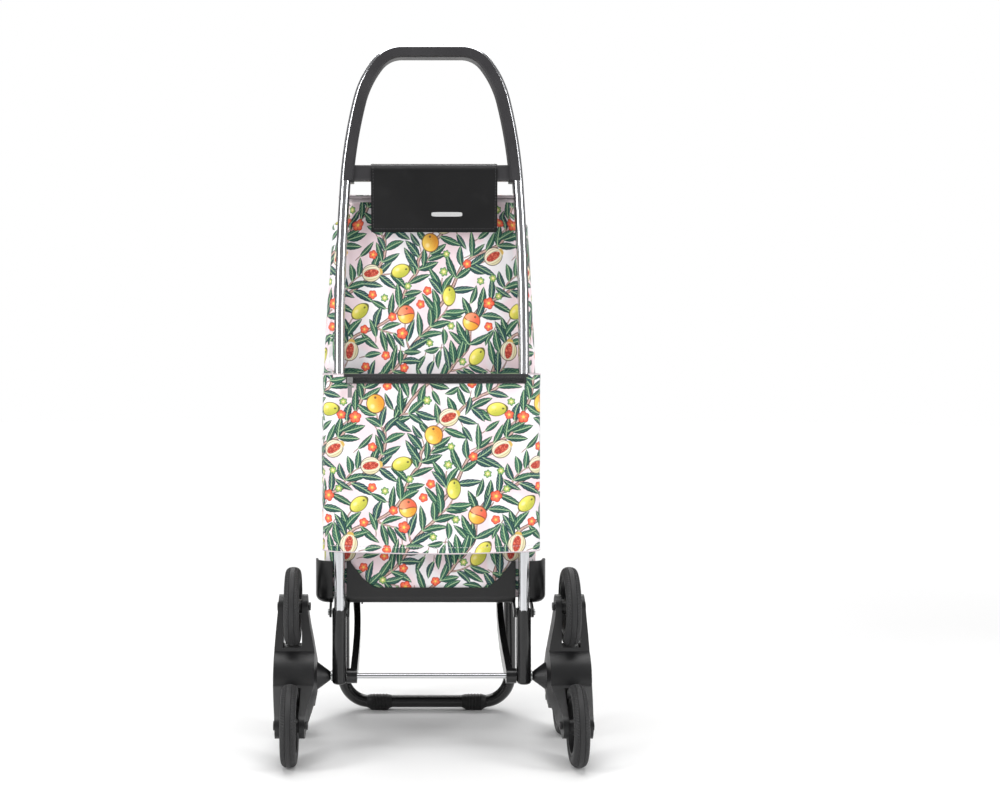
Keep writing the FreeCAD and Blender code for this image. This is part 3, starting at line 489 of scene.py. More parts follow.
# =====================================================================================================
# cloth materials
# =====================================================================================================
def cloth_finish(n, color, rough=0.62):
    """Woven, coated polyester: fine weave in the bump, a little sheen, slightly uneven ink."""
    cloth = n.uv("cloth")
    u, v, _ = n.xyz(cloth)
    wu = n.m("SINE", n.mul(u, 2 * math.pi / 0.00085))
    wv = n.m("SINE", n.mul(v, 2 * math.pi / 0.00085))
    weave = n.mul(wu, wv)
    slub = n.noise(n.scaled(cloth, (900.0, 160.0, 1.0)), 1.0, 2.0)
    blotch = n.noise(cloth, 38.0, 3.0)
    height = n.add(n.mul(weave, 0.5), n.mul(slub, 0.7))
    tint = n.m("MULTIPLY_ADD", blotch, 0.10, 0.95)
    tint2 = n.m("MULTIPLY_ADD", slub, 0.05, 0.975)
    shade = n.vec(n.mul(tint, tint2), n.mul(tint, tint2), n.mul(tint, tint2))
    col = n.mix(1.0, color, shade, "MULTIPLY")
    creases = n.noise(cloth, 60.0, 4.0, 0.6)
    b1 = n.bump(creases, 0.12, 0.004)
    return n.set(color=col, rough=n.m("MULTIPLY_ADD", slub, 0.12, rough - 0.06), sheen=0.18, sheen_rough=0.45, spec=0.35,
                 normal=n.bump(height, 0.22, 0.0004, b1))


def make_print_materials():
    mats = []
    # ground: white cloth with soft pale pink clouds
    n = Net("cloth_ground")
    cloud = n.noise(n.uv("cloth"), 15.0, 1.5)
    col = n.mix(n.step(cloud, 0.44, 0.56), srgb(238, 234, 237), srgb(238, 217, 222))
    mats.append(cloth_finish(n, col))
    # stems: pale wood between brown outlines
    n = Net("cloth_stem")
    s, b, _ = n.xyz(n.uv("motif"))
    ab = n.m("ABSOLUTE", b)
    grain = n.noise(n.vec(n.mul(s, 2.2), n.mul(b, 1.4)), 2.0, 3.0)
    core = n.mix(n.step(grain, 0.40, 0.62), srgb(212, 184, 172), srgb(170, 132, 122))
    col = n.mix(n.step(ab, 0.46, 0.64), core, srgb(92, 62, 60))
    mats.append(cloth_finish(n, col))
    # leaves
    n = Net("cloth_leaf")
    a, b, _ = n.xyz(n.uv("motif"))
    rnd = n.attr("rnd")
    ab = n.m("ABSOLUTE", b)
    ac = n.m("MINIMUM", n.m("MAXIMUM", a, 0.001), 0.999)
    wide = n.m("POWER", n.m("SINE", n.mul(n.m("POWER", ac, 0.85), math.pi)), 0.8)
    bn = n.m("DIVIDE", ab, n.m("MAXIMUM", wide, 0.05))
    base = n.mix(rnd, srgb(18, 66, 64), srgb(40, 104, 80))
    cold = n.mix(n.step(rnd, 0.62, 0.80), base, srgb(24, 62, 80))
    half = n.mix(n.step(b, -0.10, 0.12), n.mix(0.45, cold, srgb(16, 48, 52)), cold)
    veins = n.m("FRACT", n.add(n.mul(a, 7.0), n.mul(ab, -1.7)))
    vein = n.mul(n.step(veins, 0.30, 0.12), n.step(bn, 0.86, 0.66))
    light = n.mix(n.step(b, -0.05, 0.05), srgb(92, 148, 112), srgb(160, 204, 146))
    withv = n.mix(n.mul(vein, 0.72), half, light)
    rib = n.step(ab, 0.13, 0.05)
    withr = n.mix(n.mul(rib, n.step(a, 0.97, 0.86)), withv, srgb(176, 208, 158))
    col = n.mix(n.step(bn, 0.80, 0.95), withr, srgb(16, 42, 44))
    mats.append(cloth_finish(n, col))

    def round_fruit(name, lower, upper, dark, outline, split=False):
        n = Net(name)
        a, b, _ = n.xyz(n.uv("motif"))
        rnd = n.attr("rnd")
        r = n.m("SQRT", n.add(n.mul(a, a), n.mul(b, b)))
        lit = n.step(n.add(b, n.mul(a, -0.35)), -0.75, 0.70)
        col = n.mix(lit, lower, upper)
        if split:
            seam = n.add(a, n.mul(n.m("SINE", n.mul(b, 2.2)), 0.18))
            which = n.step(seam, -0.02, 0.04)
            other = n.mix(lit, srgb(228, 96, 70), srgb(249, 160, 118))
            pick = n.mul(which, n.step(rnd, 0.32, 0.34))
            col = n.mix(pick, col, other)
            line = n.mul(n.step(n.m("ABSOLUTE", seam), 0.075, 0.03), n.step(rnd, 0.32, 0.34))
            col = n.mix(line, col, srgb(150, 66, 52))
        dots = n.voronoi(n.vec(n.mul(a, 6.3), n.mul(b, 6.3), n.mul(rnd, 20.0)), 1.0)
        dot = n.mul(n.step(dots, 0.24, 0.13), n.step(n.add(b, n.mul(a, -0.4)), 0.35, -0.25))
        col = n.mix(n.mul(dot, 0.75), col, dark)
        shine = n.step(n.m("SQRT", n.add(n.m("POWER", n.sub(a, -0.28), 2.0), n.m("POWER", n.sub(b, 0.34), 2.0))), 0.34, 0.10)
        col = n.mix(n.mul(shine, 0.45), col, srgb(255, 246, 205))
        eye = n.step(n.m("SQRT", n.add(n.m("POWER", n.sub(a, 0.62), 2.0), n.m("POWER", b, 2.0))), 0.16, 0.09)
        col = n.mix(eye, col, outline)
        col = n.mix(n.step(r, 0.86, 0.945), col, outline)
        return cloth_finish(n, col)

    mats.append(round_fruit("cloth_lemon", srgb(190, 190, 70), srgb(240, 226, 104), srgb(112, 118, 44), srgb(98, 96, 46)))
    mats.append(round_fruit("cloth_orange", srgb(222, 150, 48), srgb(247, 208, 92), srgb(176, 102, 40), srgb(128, 84, 52), split=True))
    # split seed fruit: cream husk with ribs and a red window of seeds
    n = Net("cloth_husk")
    a, b, _ = n.xyz(n.uv("motif"))
    rnd = n.attr("rnd")
    r = n.m("SQRT", n.add(n.mul(a, a), n.mul(b, b)))
    prof = n.m("SQRT", n.m("MAXIMUM", n.sub(1.0, n.mul(a, a)), 0.02))
    ribs = n.m("FRACT", n.mul(n.add(n.m("DIVIDE", b, prof), 1.0), 3.5))
    col = n.mix(n.step(ribs, 0.20, 0.08), srgb(240, 232, 204), srgb(104, 78, 66))
    col = n.mix(n.mul(n.step(b, -0.25, -0.85), 0.5), col, srgb(200, 186, 120))
    window = n.step(n.m("SQRT", n.add(n.m("POWER", n.mul(a, 1.25), 2.0), n.m("POWER", n.mul(b, 2.3), 2.0))), 1.0, 0.93)
    seeds = n.voronoi(n.vec(n.mul(a, 5.0), n.mul(b, 5.0), 3.0), 1.3)
    inner = n.mix(n.step(seeds, 0.40, 0.28), srgb(176, 58, 48), srgb(240, 132, 100))
    col = n.mix(window, col, inner)
    col = n.mix(n.step(a, 0.86, 0.92), col, srgb(214, 178, 92))
    col = n.mix(n.mul(n.step(r, 0.885, 0.955), n.step(a, 0.90, 0.86)), col, srgb(84, 72, 66))
    mats.append(cloth_finish(n, col))

    def blossom(name, petals, base, amp, fill, fill2, edge, heart):
        n = Net(name)
        a, b, _ = n.xyz(n.uv("motif"))
        r = n.m("SQRT", n.add(n.mul(a, a), n.mul(b, b)))
        ang = n.m("ARCTAN2", b, a)
        lobe = n.m("ABSOLUTE", n.m("COSINE", n.mul(ang, petals / 2.0)))
        rim = n.m("MULTIPLY_ADD", lobe, amp, base)
        q = n.m("DIVIDE", r, rim)
        col = n.mix(n.step(q, 0.20, 0.85), fill2, fill)
        groove = n.mul(n.step(lobe, 0.20, 0.06), n.step(r, 0.2, 0.3))
        col = n.mix(groove, col, edge)
        col = n.mix(n.step(q, 0.84, 0.93), col, edge)
        pips = n.mul(n.step(n.voronoi(n.vec(n.mul(a, 9.0), n.mul(b, 9.0)), 1.0), 0.34, 0.2), n.step(r, 0.36, 0.30))
        col = n.mix(n.step(r, 0.26, 0.20), col, heart)
        col = n.mix(pips, col, srgb(120, 60, 40))
        return cloth_finish(n, col)

    mats.append(blossom("cloth_flower", 5, 0.80, 0.20, srgb(238, 92, 66), srgb(250, 142, 96), srgb(168, 48, 42), srgb(250, 214, 96)))
    mats.append(blossom("cloth_bud", 6, 0.70, 0.30, srgb(104, 160, 96), srgb(226, 222, 120), srgb(34, 86, 62), srgb(250, 240, 190)))
    return mats


PRINT_MATS = make_print_materials()


# =====================================================================================================
# cloth pieces cut from the print
# =====================================================================================================
def shade_from(me, normals):
    me.polygons.foreach_set("use_smooth", [True] * len(me.polygons))
    me.normals_split_custom_set_from_vertices([tuple(v) for v in normals])


def link(name, me, mats):
    for m in mats:
        me.materials.append(m)
    o = bpy.data.objects.new(name, me)
    bpy.context.scene.collection.objects.link(o)
    return o


def print_piece(name, u0, u1, v0, v1, mapper, shift=(0.0, 0.0)):
    """A rectangle of printed cloth, u0..u1 by v0..v1 in mm, laid onto mapper(u, v) -> points in mm (row X, d, Z).
    shift moves the print on the cloth."""
    V, T, K, U, R = TILE
    bm = bmesh.new()
    lay_c = bm.loops.layers.uv.new("cloth")
    lay_m = bm.loops.layers.uv.new("motif")
    lay_r = bm.faces.layers.float.new("rnd")
    seen = {}
    i0, i1 = math.floor((u0 - shift[0]) / TILE_W), math.ceil((u1 - shift[0]) / TILE_W)
    j0, j1 = math.floor((v0 - shift[1]) / TILE_H), math.ceil((v1 - shift[1]) / TILE_H)
    done = set()
    for i in range(i0, i1):
        for j in range(j0, j1):
            ox, oy = i * TILE_W + shift[0], j * TILE_H + shift[1]
            local = []
            for x, y in V:
                px, py = x + ox, y + oy
                key = (round(px, 2), round(py, 2))
                w = seen.get(key)
                if w is None:
                    w = bm.verts.new((px, py, 0.0))
                    seen[key] = w
                local.append(w)
            for f, k, uv, r in zip(T, K, U, R):
                cx = sum(V[q][0] for q in f) / len(f) + ox
                cy = sum(V[q][1] for q in f) / len(f) + oy
                if cx < u0 - 14 or cx > u1 + 14 or cy < v0 - 14 or cy > v1 + 14:
                    continue
                vs = [local[q] for q in f]
                if len(set(vs)) < 3:
                    continue
                key = frozenset(v.index if v.index >= 0 else id(v) for v in vs)
                try:
                    face = bm.faces.new(vs)
                except ValueError:
                    continue
                face.material_index = k
                face[lay_r] = r
                for lp, m in zip(face.loops, uv):
                    lp[lay_m].uv = m
                    lp[lay_c].uv = (lp.vert.co.x * MM, lp.vert.co.y * MM)
    for co, no in (((u0, 0, 0), (1, 0, 0)), ((u1, 0, 0), (-1, 0, 0)), ((0, v0, 0), (0, 1, 0)), ((0, v1, 0), (0, -1, 0))):
        bmesh.ops.bisect_plane(bm, geom=bm.verts[:] + bm.edges[:] + bm.faces[:], dist=1e-4, plane_co=co, plane_no=no,
                               clear_inner=True)
    loose = [v for v in bm.verts if not v.link_faces]
    bmesh.ops.delete(bm, geom=loose, context="VERTS")
    bmesh.ops.triangulate(bm, faces=[f for f in bm.faces if len(f.verts) > 3])
    me = bpy.data.meshes.new(name)
    bm.to_mesh(me)
    bm.free()
    co = np.zeros(len(me.vertices) * 3)
    me.vertices.foreach_get("co", co)
    co = co.reshape(-1, 3)
    u, v = co[:, 0], co[:, 1]
    p = mapper(u, v)
    e = 0.6
    du = mapper(u + e, v) - mapper(u - e, v)
    dv = mapper(u, v + e) - mapper(u, v - e)
    nrm = np.cross(du, dv)
    nrm /= np.linalg.norm(nrm, axis=1, keepdims=True) + 1e-12
    pos = np.stack([p[:, 0] * MM, AXLE_Y + p[:, 1] * MM, p[:, 2] * MM], axis=1)
    me.vertices.foreach_set("co", pos.astype(np.float32).ravel())
    me.update()
    # faces wind so that they look along the mapped normal
    tri = me.polygons[0]
    fn = np.array(tri.normal)
    if fn @ nrm[tri.vertices[0]] < 0:
        me.flip_normals()
    shade_from(me, nrm)
    return link(name, me, PRINT_MATS)


# smooth lattice noise, the same on every run
def lat(ix, iy, seed):
    h = np.sin(ix * 127.1 + iy * 311.7 + seed * 74.7) * 43758.5453
    return h - np.floor(h)


def vnoise(x, y, seed=0.0):
    ix, iy = np.floor(x), np.floor(y)
    fx, fy = x - ix, y - iy
    fx, fy = fx * fx * fx * (fx * (fx * 6 - 15) + 10), fy * fy * fy * (fy * (fy * 6 - 15) + 10)
    a, b = lat(ix, iy, seed), lat(ix + 1, iy, seed)
    c, d = lat(ix, iy + 1, seed), lat(ix + 1, iy + 1, seed)
    return (a + (b - a) * fx) + ((c + (d - c) * fx) - (a + (b - a) * fx)) * fy


def ridge(n, p=2.0):
    return (1.0 - np.abs(2.0 * n - 1.0)) ** p


def smooth(x, lo, hi):
    t = np.clip((x - lo) / (hi - lo), 0.0, 1.0)
    return t * t * (3 - 2 * t)


# ------------------------------------------------------------------------------------------- the bag
BAG_LOW, BAG_TOP = 223.5, 828.0
BAG_R = 34.0


def ring(s, a, d0, d1, r):
    """Point and outward normal at signed arc length s from the middle of the rear side (s > 0 towards +X)."""
    sg = np.where(s < 0, -1.0, 1.0)
    t = np.abs(s)
    l1, c, l2 = a - r, math.pi * r / 2, (d1 - d0) - 2 * r
    x = np.zeros_like(t)
    d = np.zeros_like(t)
    nx = np.zeros_like(t)
    nd = np.zeros_like(t)
    m = t <= l1
    x = np.where(m, t, x); d = np.where(m, d0, d); nd = np.where(m, -1.0, nd)
    th = (t - l1) / r
    m = (t > l1) & (t <= l1 + c)
    x = np.where(m, l1 + r * np.sin(th), x); d = np.where(m, d0 + r - r * np.cos(th), d)
    nx = np.where(m, np.sin(th), nx); nd = np.where(m, -np.cos(th), nd)
    m = (t > l1 + c) & (t <= l1 + c + l2)
    x = np.where(m, a, x); d = np.where(m, d0 + r + (t - l1 - c), d); nx = np.where(m, 1.0, nx)
    th = (t - l1 - c - l2) / r
    m = (t > l1 + c + l2) & (t <= l1 + 2 * c + l2)
    x = np.where(m, l1 + r * np.cos(th), x); d = np.where(m, d1 - r + r * np.sin(th), d)
    nx = np.where(m, np.cos(th), nx); nd = np.where(m, np.sin(th), nd)
    m = t > l1 + 2 * c + l2
    x = np.where(m, l1 - (t - l1 - 2 * c - l2), x); d = np.where(m, d1, d); nd = np.where(m, 1.0, nd)
    return x * sg, d, nx * sg, nd


SH_LOW, SH_HIGH, NECK = 788.0, 803.0, 136.4


def bag_size(z):
    """Half width and the two depths: a taper, then a soft shoulder into the drawn-in neck under the lid."""
    f = (z - BAG_LOW) / (BAG_TOP - BAG_LOW)
    body = 160.0 - 9.0 * (z - BAG_LOW) / (SH_LOW - BAG_LOW)
    t = np.clip((z - SH_LOW) / (SH_HIGH - SH_LOW), 0.0, 1.0)
    half = body + (NECK - body) * np.sin(t * math.pi / 2) ** 1.6
    return half, 19.0, 255.0 - 14.0 * f


P0 = 2 * (2 * (160.0 - BAG_R) + (236.0 - 2 * BAG_R)) + 2 * math.pi * BAG_R     # bottom perimeter
CORNER_MID = (160.0 - BAG_R) + math.pi * BAG_R / 2 + (236.0 - 2 * BAG_R) + math.pi * BAG_R / 4


def bag_push(s, z, nx, nd):
    """How far the cloth stands out (+) or in (-) of the bag's plain shape, mm."""
    f = (z - BAG_LOW) / (BAG_TOP - BAG_LOW)
    side = np.abs(nx)
    front = np.clip(nd, 0, 1)
    rear = np.clip(-nd, 0, 1)
    soft = (vnoise(s / 120.0 + 9, z / 150.0, 3) - 0.5) * 2
    folds = ridge(vnoise(s / 30.0 + 0.15 * np.sin(z / 90.0) * 2, z / 230.0, 5), 2.2) - 0.35
    fine = ridge(vnoise(s / 15.0 + z / 60.0, z / 34.0, 8), 3.0) - 0.25
    low = np.exp(-(z - BAG_LOW) / 60.0)
    high = np.exp((z - BAG_TOP) / 55.0)
    slump = ridge(vnoise(s / 75.0 + 0.4 * np.sin(z / 25.0), z / 17.0, 12), 2.4) - 0.3
    gather = np.sin(s / 6.3 + 2.1 * np.sin(s / 21.0)) * 0.9
    out = 1.7 * soft + 1.1 * folds + 0.45 * fine + 2.0 * low * slump + 1.0 * high * gather
    body = np.clip(f / 0.93, 0, 1)
    neck = smooth(z, SH_LOW - 6.0, SH_HIGH)
    bulge = np.sin(body ** 0.85 * math.pi) * (10.0 * side + 3.6 * front)
    ruffle = np.sin(s / 4.6 + 1.9 * np.sin(s / 17.0)) * 1.5 * np.exp(-((z - SH_HIGH - 6.0) / 15.0) ** 2) * side
    out = out * (0.55 * rear + 1.15 * side + 1.25 * front) * (1 - 0.45 * neck) + bulge + ruffle - 1.4 * side * (1 - neck) - 2.4 * front - 1.2 * rear
    out = np.where(rear > 0.5, np.clip(out, -4.5, 1.2), np.clip(out, -6.5, 10.5))
    return out


def bag_map(inset=0.0):
    def f(s, v):
        z = BAG_LOW + v
        zc = np.clip(z, BAG_LOW, BAG_TOP)
        a, d0, d1 = bag_size(zc)
        per = 2 * (2 * (a - BAG_R) + (d1 - d0 - 2 * BAG_R)) + 2 * math.pi * BAG_R
        x, d, nx, nd = ring_var(s * per / P0, a, d0, d1)
        k = bag_push(s, zc, nx, nd) - inset
        edge = np.clip(9.0 - v, 0, 9.0)
        k = k * smooth(v, 0.0, 22.0) - (9.0 - np.sqrt(np.maximum(81.0 - edge ** 2, 0.0)))
        return np.stack([x + nx * k, d + nd * k, z], axis=1)
    return f


def ring_var(s, a, d0, d1):
    """ring() for arrays of sizes."""
    r = BAG_R
    sg = np.where(s < 0, -1.0, 1.0)
    t = np.abs(s)
    l1, c, l2 = a - r, math.pi * r / 2, (d1 - d0) - 2 * r
    th1 = np.clip((t - l1) / r, 0, math.pi / 2)
    th2 = np.clip((t - l1 - c - l2) / r, 0, math.pi / 2)
    x = np.minimum(t, l1) + r * np.sin(th1) - r * (1 - np.cos(th2)) - np.maximum(t - l1 - 2 * c - l2, 0)
    d = d0 + r * (1 - np.cos(th1)) + np.clip(t - l1 - c, 0, l2) + r * np.sin(th2)
    ang = th1 + th2
    return x * sg, d, np.sin(ang) * sg, -np.cos(ang)


bag_cloth = print_piece("bag_body_cloth", -CORNER_MID, CORNER_MID, 0.0, BAG_TOP - BAG_LOW, bag_map(), (-22.0, 14.0))
half_front = P0 / 2 - CORNER_MID


def front_map(u, v):
    # u runs from the right front corner across the front to the left one
    s = np.where(u < 0, P0 / 2 + u, -(P0 / 2 - u))
    base = bag_map()
    right = base(np.where(u < 0, P0 / 2 + u, P0 / 2 - u), v)
    left = base(np.where(u < 0, -(P0 / 2 + u), -(P0 / 2 - u)), v)
    return np.where((u < 0)[:, None], right, left)


bag_front = print_piece("bag_front_cloth", -half_front, half_front, 0.0, BAG_TOP - BAG_LOW, front_map, (37.0, -61.0))
for o in (bag_cloth, bag_front):
    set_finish(o, "bag_fabric")
print("bag", len(bag_cloth.data.polygons), len(bag_front.data.polygons))


# =====================================================================================================
# mesh helpers; every point is (X, d, Z) in mm, d forward of the axle
# =====================================================================================================
def to_row(p):
    p = np.asarray(p, float)
    return np.stack([p[..., 0] * MM, AXLE_Y + p[..., 1] * MM, p[..., 2] * MM], axis=-1)


def raw_mesh(name, pts, faces, mat, smooth_all=True, sharp=None, uv=None, slot=None):
    """pts in mm -> one object. uv gives one (u, v) in metres per vertex, for the 'cloth' layer."""
    me = bpy.data.meshes.new(name)
    me.from_pydata([tuple(q) for q in to_row(pts)], [], faces)
    me.update()
    if uv is not None:
        lay = me.uv_layers.new(name="cloth")
        flat = np.zeros((len(me.loops), 2))
        idx = np.zeros(len(me.loops), int)
        me.loops.foreach_get("vertex_index", idx)
        flat[:] = np.asarray(uv)[idx]
        lay.data.foreach_set("uv", flat.ravel())
    if smooth_all:
        me.polygons.foreach_set("use_smooth", [True] * len(me.polygons))
    if sharp is not None:
        me.set_sharp_from_angle(angle=math.radians(sharp))
    o = link(name, me, [mat] if mat else [])
    if slot:
        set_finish(o, slot)
    return o


def grid_faces(nu, nv, close_u=False, close_v=False, base=0, flip=False):
    out = []
    for i in range(nu if close_u else nu - 1):
        for j in range(nv if close_v else nv - 1):
            a = base + i * nv + j
            b = base + ((i + 1) % nu) * nv + j
            c = base + ((i + 1) % nu) * nv + (j + 1) % nv
            d = base + i * nv + (j + 1) % nv
            out.append((a, d, c, b) if flip else (a, b, c, d))
    return out


def frames_along(path, up=(0.0, 0.0, 1.0), closed=False):
    path = np.asarray(path, float)
    n = len(path)
    if closed:
        tan = np.roll(path, -1, 0) - np.roll(path, 1, 0)
    else:
        tan = np.gradient(path, axis=0)
    tan /= np.linalg.norm(tan, axis=1, keepdims=True) + 1e-12
    side = np.zeros_like(path)
    norm = np.zeros_like(path)
    up = np.asarray(up, float)
    if up.ndim == 1:
        up = np.tile(up, (n, 1))
    for i in range(n):
        s = np.cross(tan[i], up[i])
        if np.linalg.norm(s) < 1e-6:
            s = np.cross(tan[i], (1.0, 0.2, 0.1))
        s /= np.linalg.norm(s)
        side[i] = s
        norm[i] = np.cross(s, tan[i])
    return tan, side, norm


def sweep_mesh(name, path, section, mat, up=(0, 0, 1), closed=False, caps=True, slot=None, sharp=None):
    """section is a closed list of (side, normal) in mm, the same along the path, or a function of the index."""
    path = np.asarray(path, float)
    tan, side, norm = frames_along(path, up, closed)
    pts, n = [], len(path)
    for i in range(n):
        sec = section(i) if callable(section) else section
        for a, b in sec:
            pts.append(path[i] + side[i] * a + norm[i] * b)
    m = len(sec)
    faces = grid_faces(n, m, closed, True)
    if caps and not closed:
        faces.append(tuple(range(m)))
        faces.append(tuple((n - 1) * m + k for k in reversed(range(m))))
    run = np.concatenate([[0], np.cumsum(np.linalg.norm(np.diff(path, axis=0), axis=1))])
    uv = [(run[i] * MM, k * MM * 0.8) for i in range(n) for k in range(m)]
    o = raw_mesh(name, pts, faces, mat, uv=uv, slot=slot, sharp=sharp)
    fix_normals(o)
    return o


def fix_normals(o):
    bm = bmesh.new()
    bm.from_mesh(o.data)
    bmesh.ops.recalc_face_normals(bm, faces=bm.faces[:])
    bm.to_mesh(o.data)
    bm.free()


def circle(r, n=10, ry=None):
    ry = r if ry is None else ry
    return [(r * math.cos(2 * math.pi * k / n), ry * math.sin(2 * math.pi * k / n)) for k in range(n)]


def resample(path, step, closed=False):
    path = np.asarray(path, float)
    if closed:
        path = np.vstack([path, path[:1]])
    seg = np.linalg.norm(np.diff(path, axis=0), axis=1)
    run = np.concatenate([[0], np.cumsum(seg)])
    n = max(2, int(round(run[-1] / step)) + (0 if closed else 1))
    t = np.linspace(0, run[-1], n + (1 if closed else 0))
    if closed:
        t = t[:-1]
    return np.stack([np.interp(t, run, path[:, k]) for k in range(3)], axis=1)


def stitches(name, path, normal, mat, length=3.0, gap=1.4, r=0.38, lift=0.28, slot="bag_fabric", closed=False):
    """A run of thread stitches along a path that lies on the cloth. normal: one vector, or one per point."""
    path = np.asarray(path, float)
    if closed:
        path = np.vstack([path, path[:1]])
    seg = np.linalg.norm(np.diff(path, axis=0), axis=1)
    run = np.concatenate([[0], np.cumsum(seg)])
    nr = np.asarray(normal, float)
    if nr.ndim == 1:
        nr = np.tile(nr, (len(path), 1))
    elif closed:
        nr = np.vstack([nr, nr[:1]])
    at = lambda t: np.array([np.interp(t, run, path[:, k]) for k in range(3)])
    nat = lambda t: np.array([np.interp(t, run, nr[:, k]) for k in range(3)])
    pts, faces = [], []
    t = gap
    prof = ((0.0, 0.35), (0.18, 0.85), (0.5, 1.0), (0.82, 0.85), (1.0, 0.35))
    while t + length < run[-1]:
        a, b = at(t), at(t + length)
        tan = (b - a) / (np.linalg.norm(b - a) + 1e-9)
        nn = nat(t + length / 2)
        nn = nn - tan * (nn @ tan)
        nn /= np.linalg.norm(nn) + 1e-9
        sd = np.cross(tan, nn)
        base = len(pts)
        for f, k in prof:
            c = a + (b - a) * f + nn * (lift * math.sin(math.pi * f) - 0.12)
            for q in range(6):
                w = 2 * math.pi * q / 6
                pts.append(c + sd * (r * k * math.cos(w)) + nn * (r * k * math.sin(w)))
        for i in range(4):
            for q in range(6):
                q2 = (q + 1) % 6
                faces.append((base + i * 6 + q, base + i * 6 + q2, base + (i + 1) * 6 + q2, base + (i + 1) * 6 + q))
        faces.append(tuple(base + q for q in reversed(range(6))))
        faces.append(tuple(base + 24 + q for q in range(6)))
        t += length + gap
    o = raw_mesh(name, pts, faces, mat, slot=slot)
    fix_normals(o)
    return o


def lathe_x(name, profile, mat, centre=(0.0, 0.0, 0.0), n=64, slot=None, sharp=35, closed=True, move=None):
    """Turn a profile of (x, r) about the X axis. closed: the profile is a loop."""
    pts = []
    m = len(profile)
    for i in range(n):
        w = 2 * math.pi * i / n
        for k, (x, r) in enumerate(profile):
            dr = move(w, k) if move else 0.0
            pts.append((centre[0] + x, centre[1] + (r + dr) * math.cos(w), centre[2] + (r + dr) * math.sin(w)))
    o = raw_mesh(name, pts, grid_faces(n, m, True, closed), mat, slot=slot)
    fix_normals(o)
    if sharp:
        o.data.set_sharp_from_angle(angle=math.radians(sharp))
    return o


def joined(name, objs):
    """Join several meshes with the same materials into one piece."""
    bm = bmesh.new()
    mats = []
    for o in objs:
        for m in o.data.materials:
            if m not in mats:
                mats.append(m)
    for o in objs:
        old = len(bm.faces)
        bm.from_mesh(o.data)
        bm.faces.ensure_lookup_table()
        table = [mats.index(m) for m in o.data.materials]
        for f in bm.faces[old:]:
            f.material_index = table[min(f.material_index, len(table) - 1)]
    me = bpy.data.meshes.new(name)
    bm.to_mesh(me)
    bm.free()
    out = link(name, me, mats)
    if "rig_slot" in objs[0]:
        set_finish(out, objs[0]["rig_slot"])
    for o in objs:
        bpy.data.objects.remove(o)
    return out


# =====================================================================================================
# plain finishes
# =====================================================================================================
def moulded(name, base, rough=0.42, grain=1400.0, grain_h=0.00004, wear=0.5, coat=0.0, slot=None, spec=0.45):
    """Injection-moulded plastic: fine spark-eroded grain, soft sheen changes, faint scuffs and dust in the colour."""
    n = Net(name)
    obj = n.obj()
    fine = n.noise(n.scaled(obj, (grain, grain, grain)), 1.0, 2.0)
    broad = n.noise(obj, 22.0, 3.0)
    scuff = n.noise(n.scaled(obj, (160.0, 160.0, 26.0)), 1.0, 5.0, 0.65)
    mark = n.mul(n.step(scuff, 0.60, 0.72), wear)
    light = tuple(min(1.0, c * 1.6 + 0.006) for c in base[:3]) + (1.0,)
    col = n.mix(n.m("MULTIPLY_ADD", broad, 0.35, 0.0), base, light)
    col = n.mix(n.mul(mark, 0.35), col, light)
    rg = n.add(n.m("MULTIPLY_ADD", broad, 0.16, rough - 0.08), n.mul(mark, 0.14))
    return n.set(color=col, rough=rg, coat=coat, coat_rough=0.18, spec=spec,
                 normal=n.bump(fine, 0.35, grain_h * 4, n.bump(broad, 0.05, 0.002)))


def brushed(name, base, rough=0.28, along="z", scale=1.0, aniso=0.5):
    """Drawn metal: long fine lines, slow tone changes and a few rubbed patches."""
    n = Net(name)
    obj = n.obj()
    s = {"z": (5200.0, 5200.0, 9.0), "x": (9.0, 5200.0, 5200.0)}[along]
    lines = n.noise(n.scaled(obj, s), scale, 3.0, 0.6)
    broad = n.noise(obj, 12.0, 2.0)
    rub = n.step(n.noise(n.scaled(obj, (24.0, 24.0, 9.0)), 1.0, 4.0, 0.6), 0.58, 0.80)
    dark = tuple(c * 0.80 for c in base[:3]) + (1.0,)
    col = n.mix(n.m("MULTIPLY_ADD", lines, 0.5, 0.1), base, dark)
    rg = n.add(n.m("MULTIPLY_ADD", lines, 0.08, rough - 0.04), n.add(n.mul(broad, 0.04), n.mul(rub, 0.05)))
    return n.set(color=col, rough=rg, metal=1.0, aniso=aniso, normal=n.bump(lines, 0.06, 0.00003))


def rubber(name, base, rough=0.62):
    n = Net(name)
    obj = n.obj()
    fine = n.noise(n.scaled(obj, (900.0, 900.0, 900.0)), 1.0, 3.0, 0.6)
    broad = n.noise(obj, 30.0, 3.0)
    dust = n.step(n.noise(n.scaled(obj, (90.0, 90.0, 90.0)), 1.0, 5.0, 0.7), 0.52, 0.75)
    pale = tuple(min(1.0, c * 1.6 + 0.014) for c in base[:3]) + (1.0,)
    col = n.mix(n.add(n.mul(broad, 0.25), n.mul(dust, 0.30)), base, pale)
    return n.set(color=col, rough=n.add(n.m("MULTIPLY_ADD", broad, 0.16, rough - 0.08), n.mul(dust, 0.12)), spec=0.35,
                 sheen=0.06, sheen_rough=0.5, normal=n.bump(fine, 0.3, 0.0002))


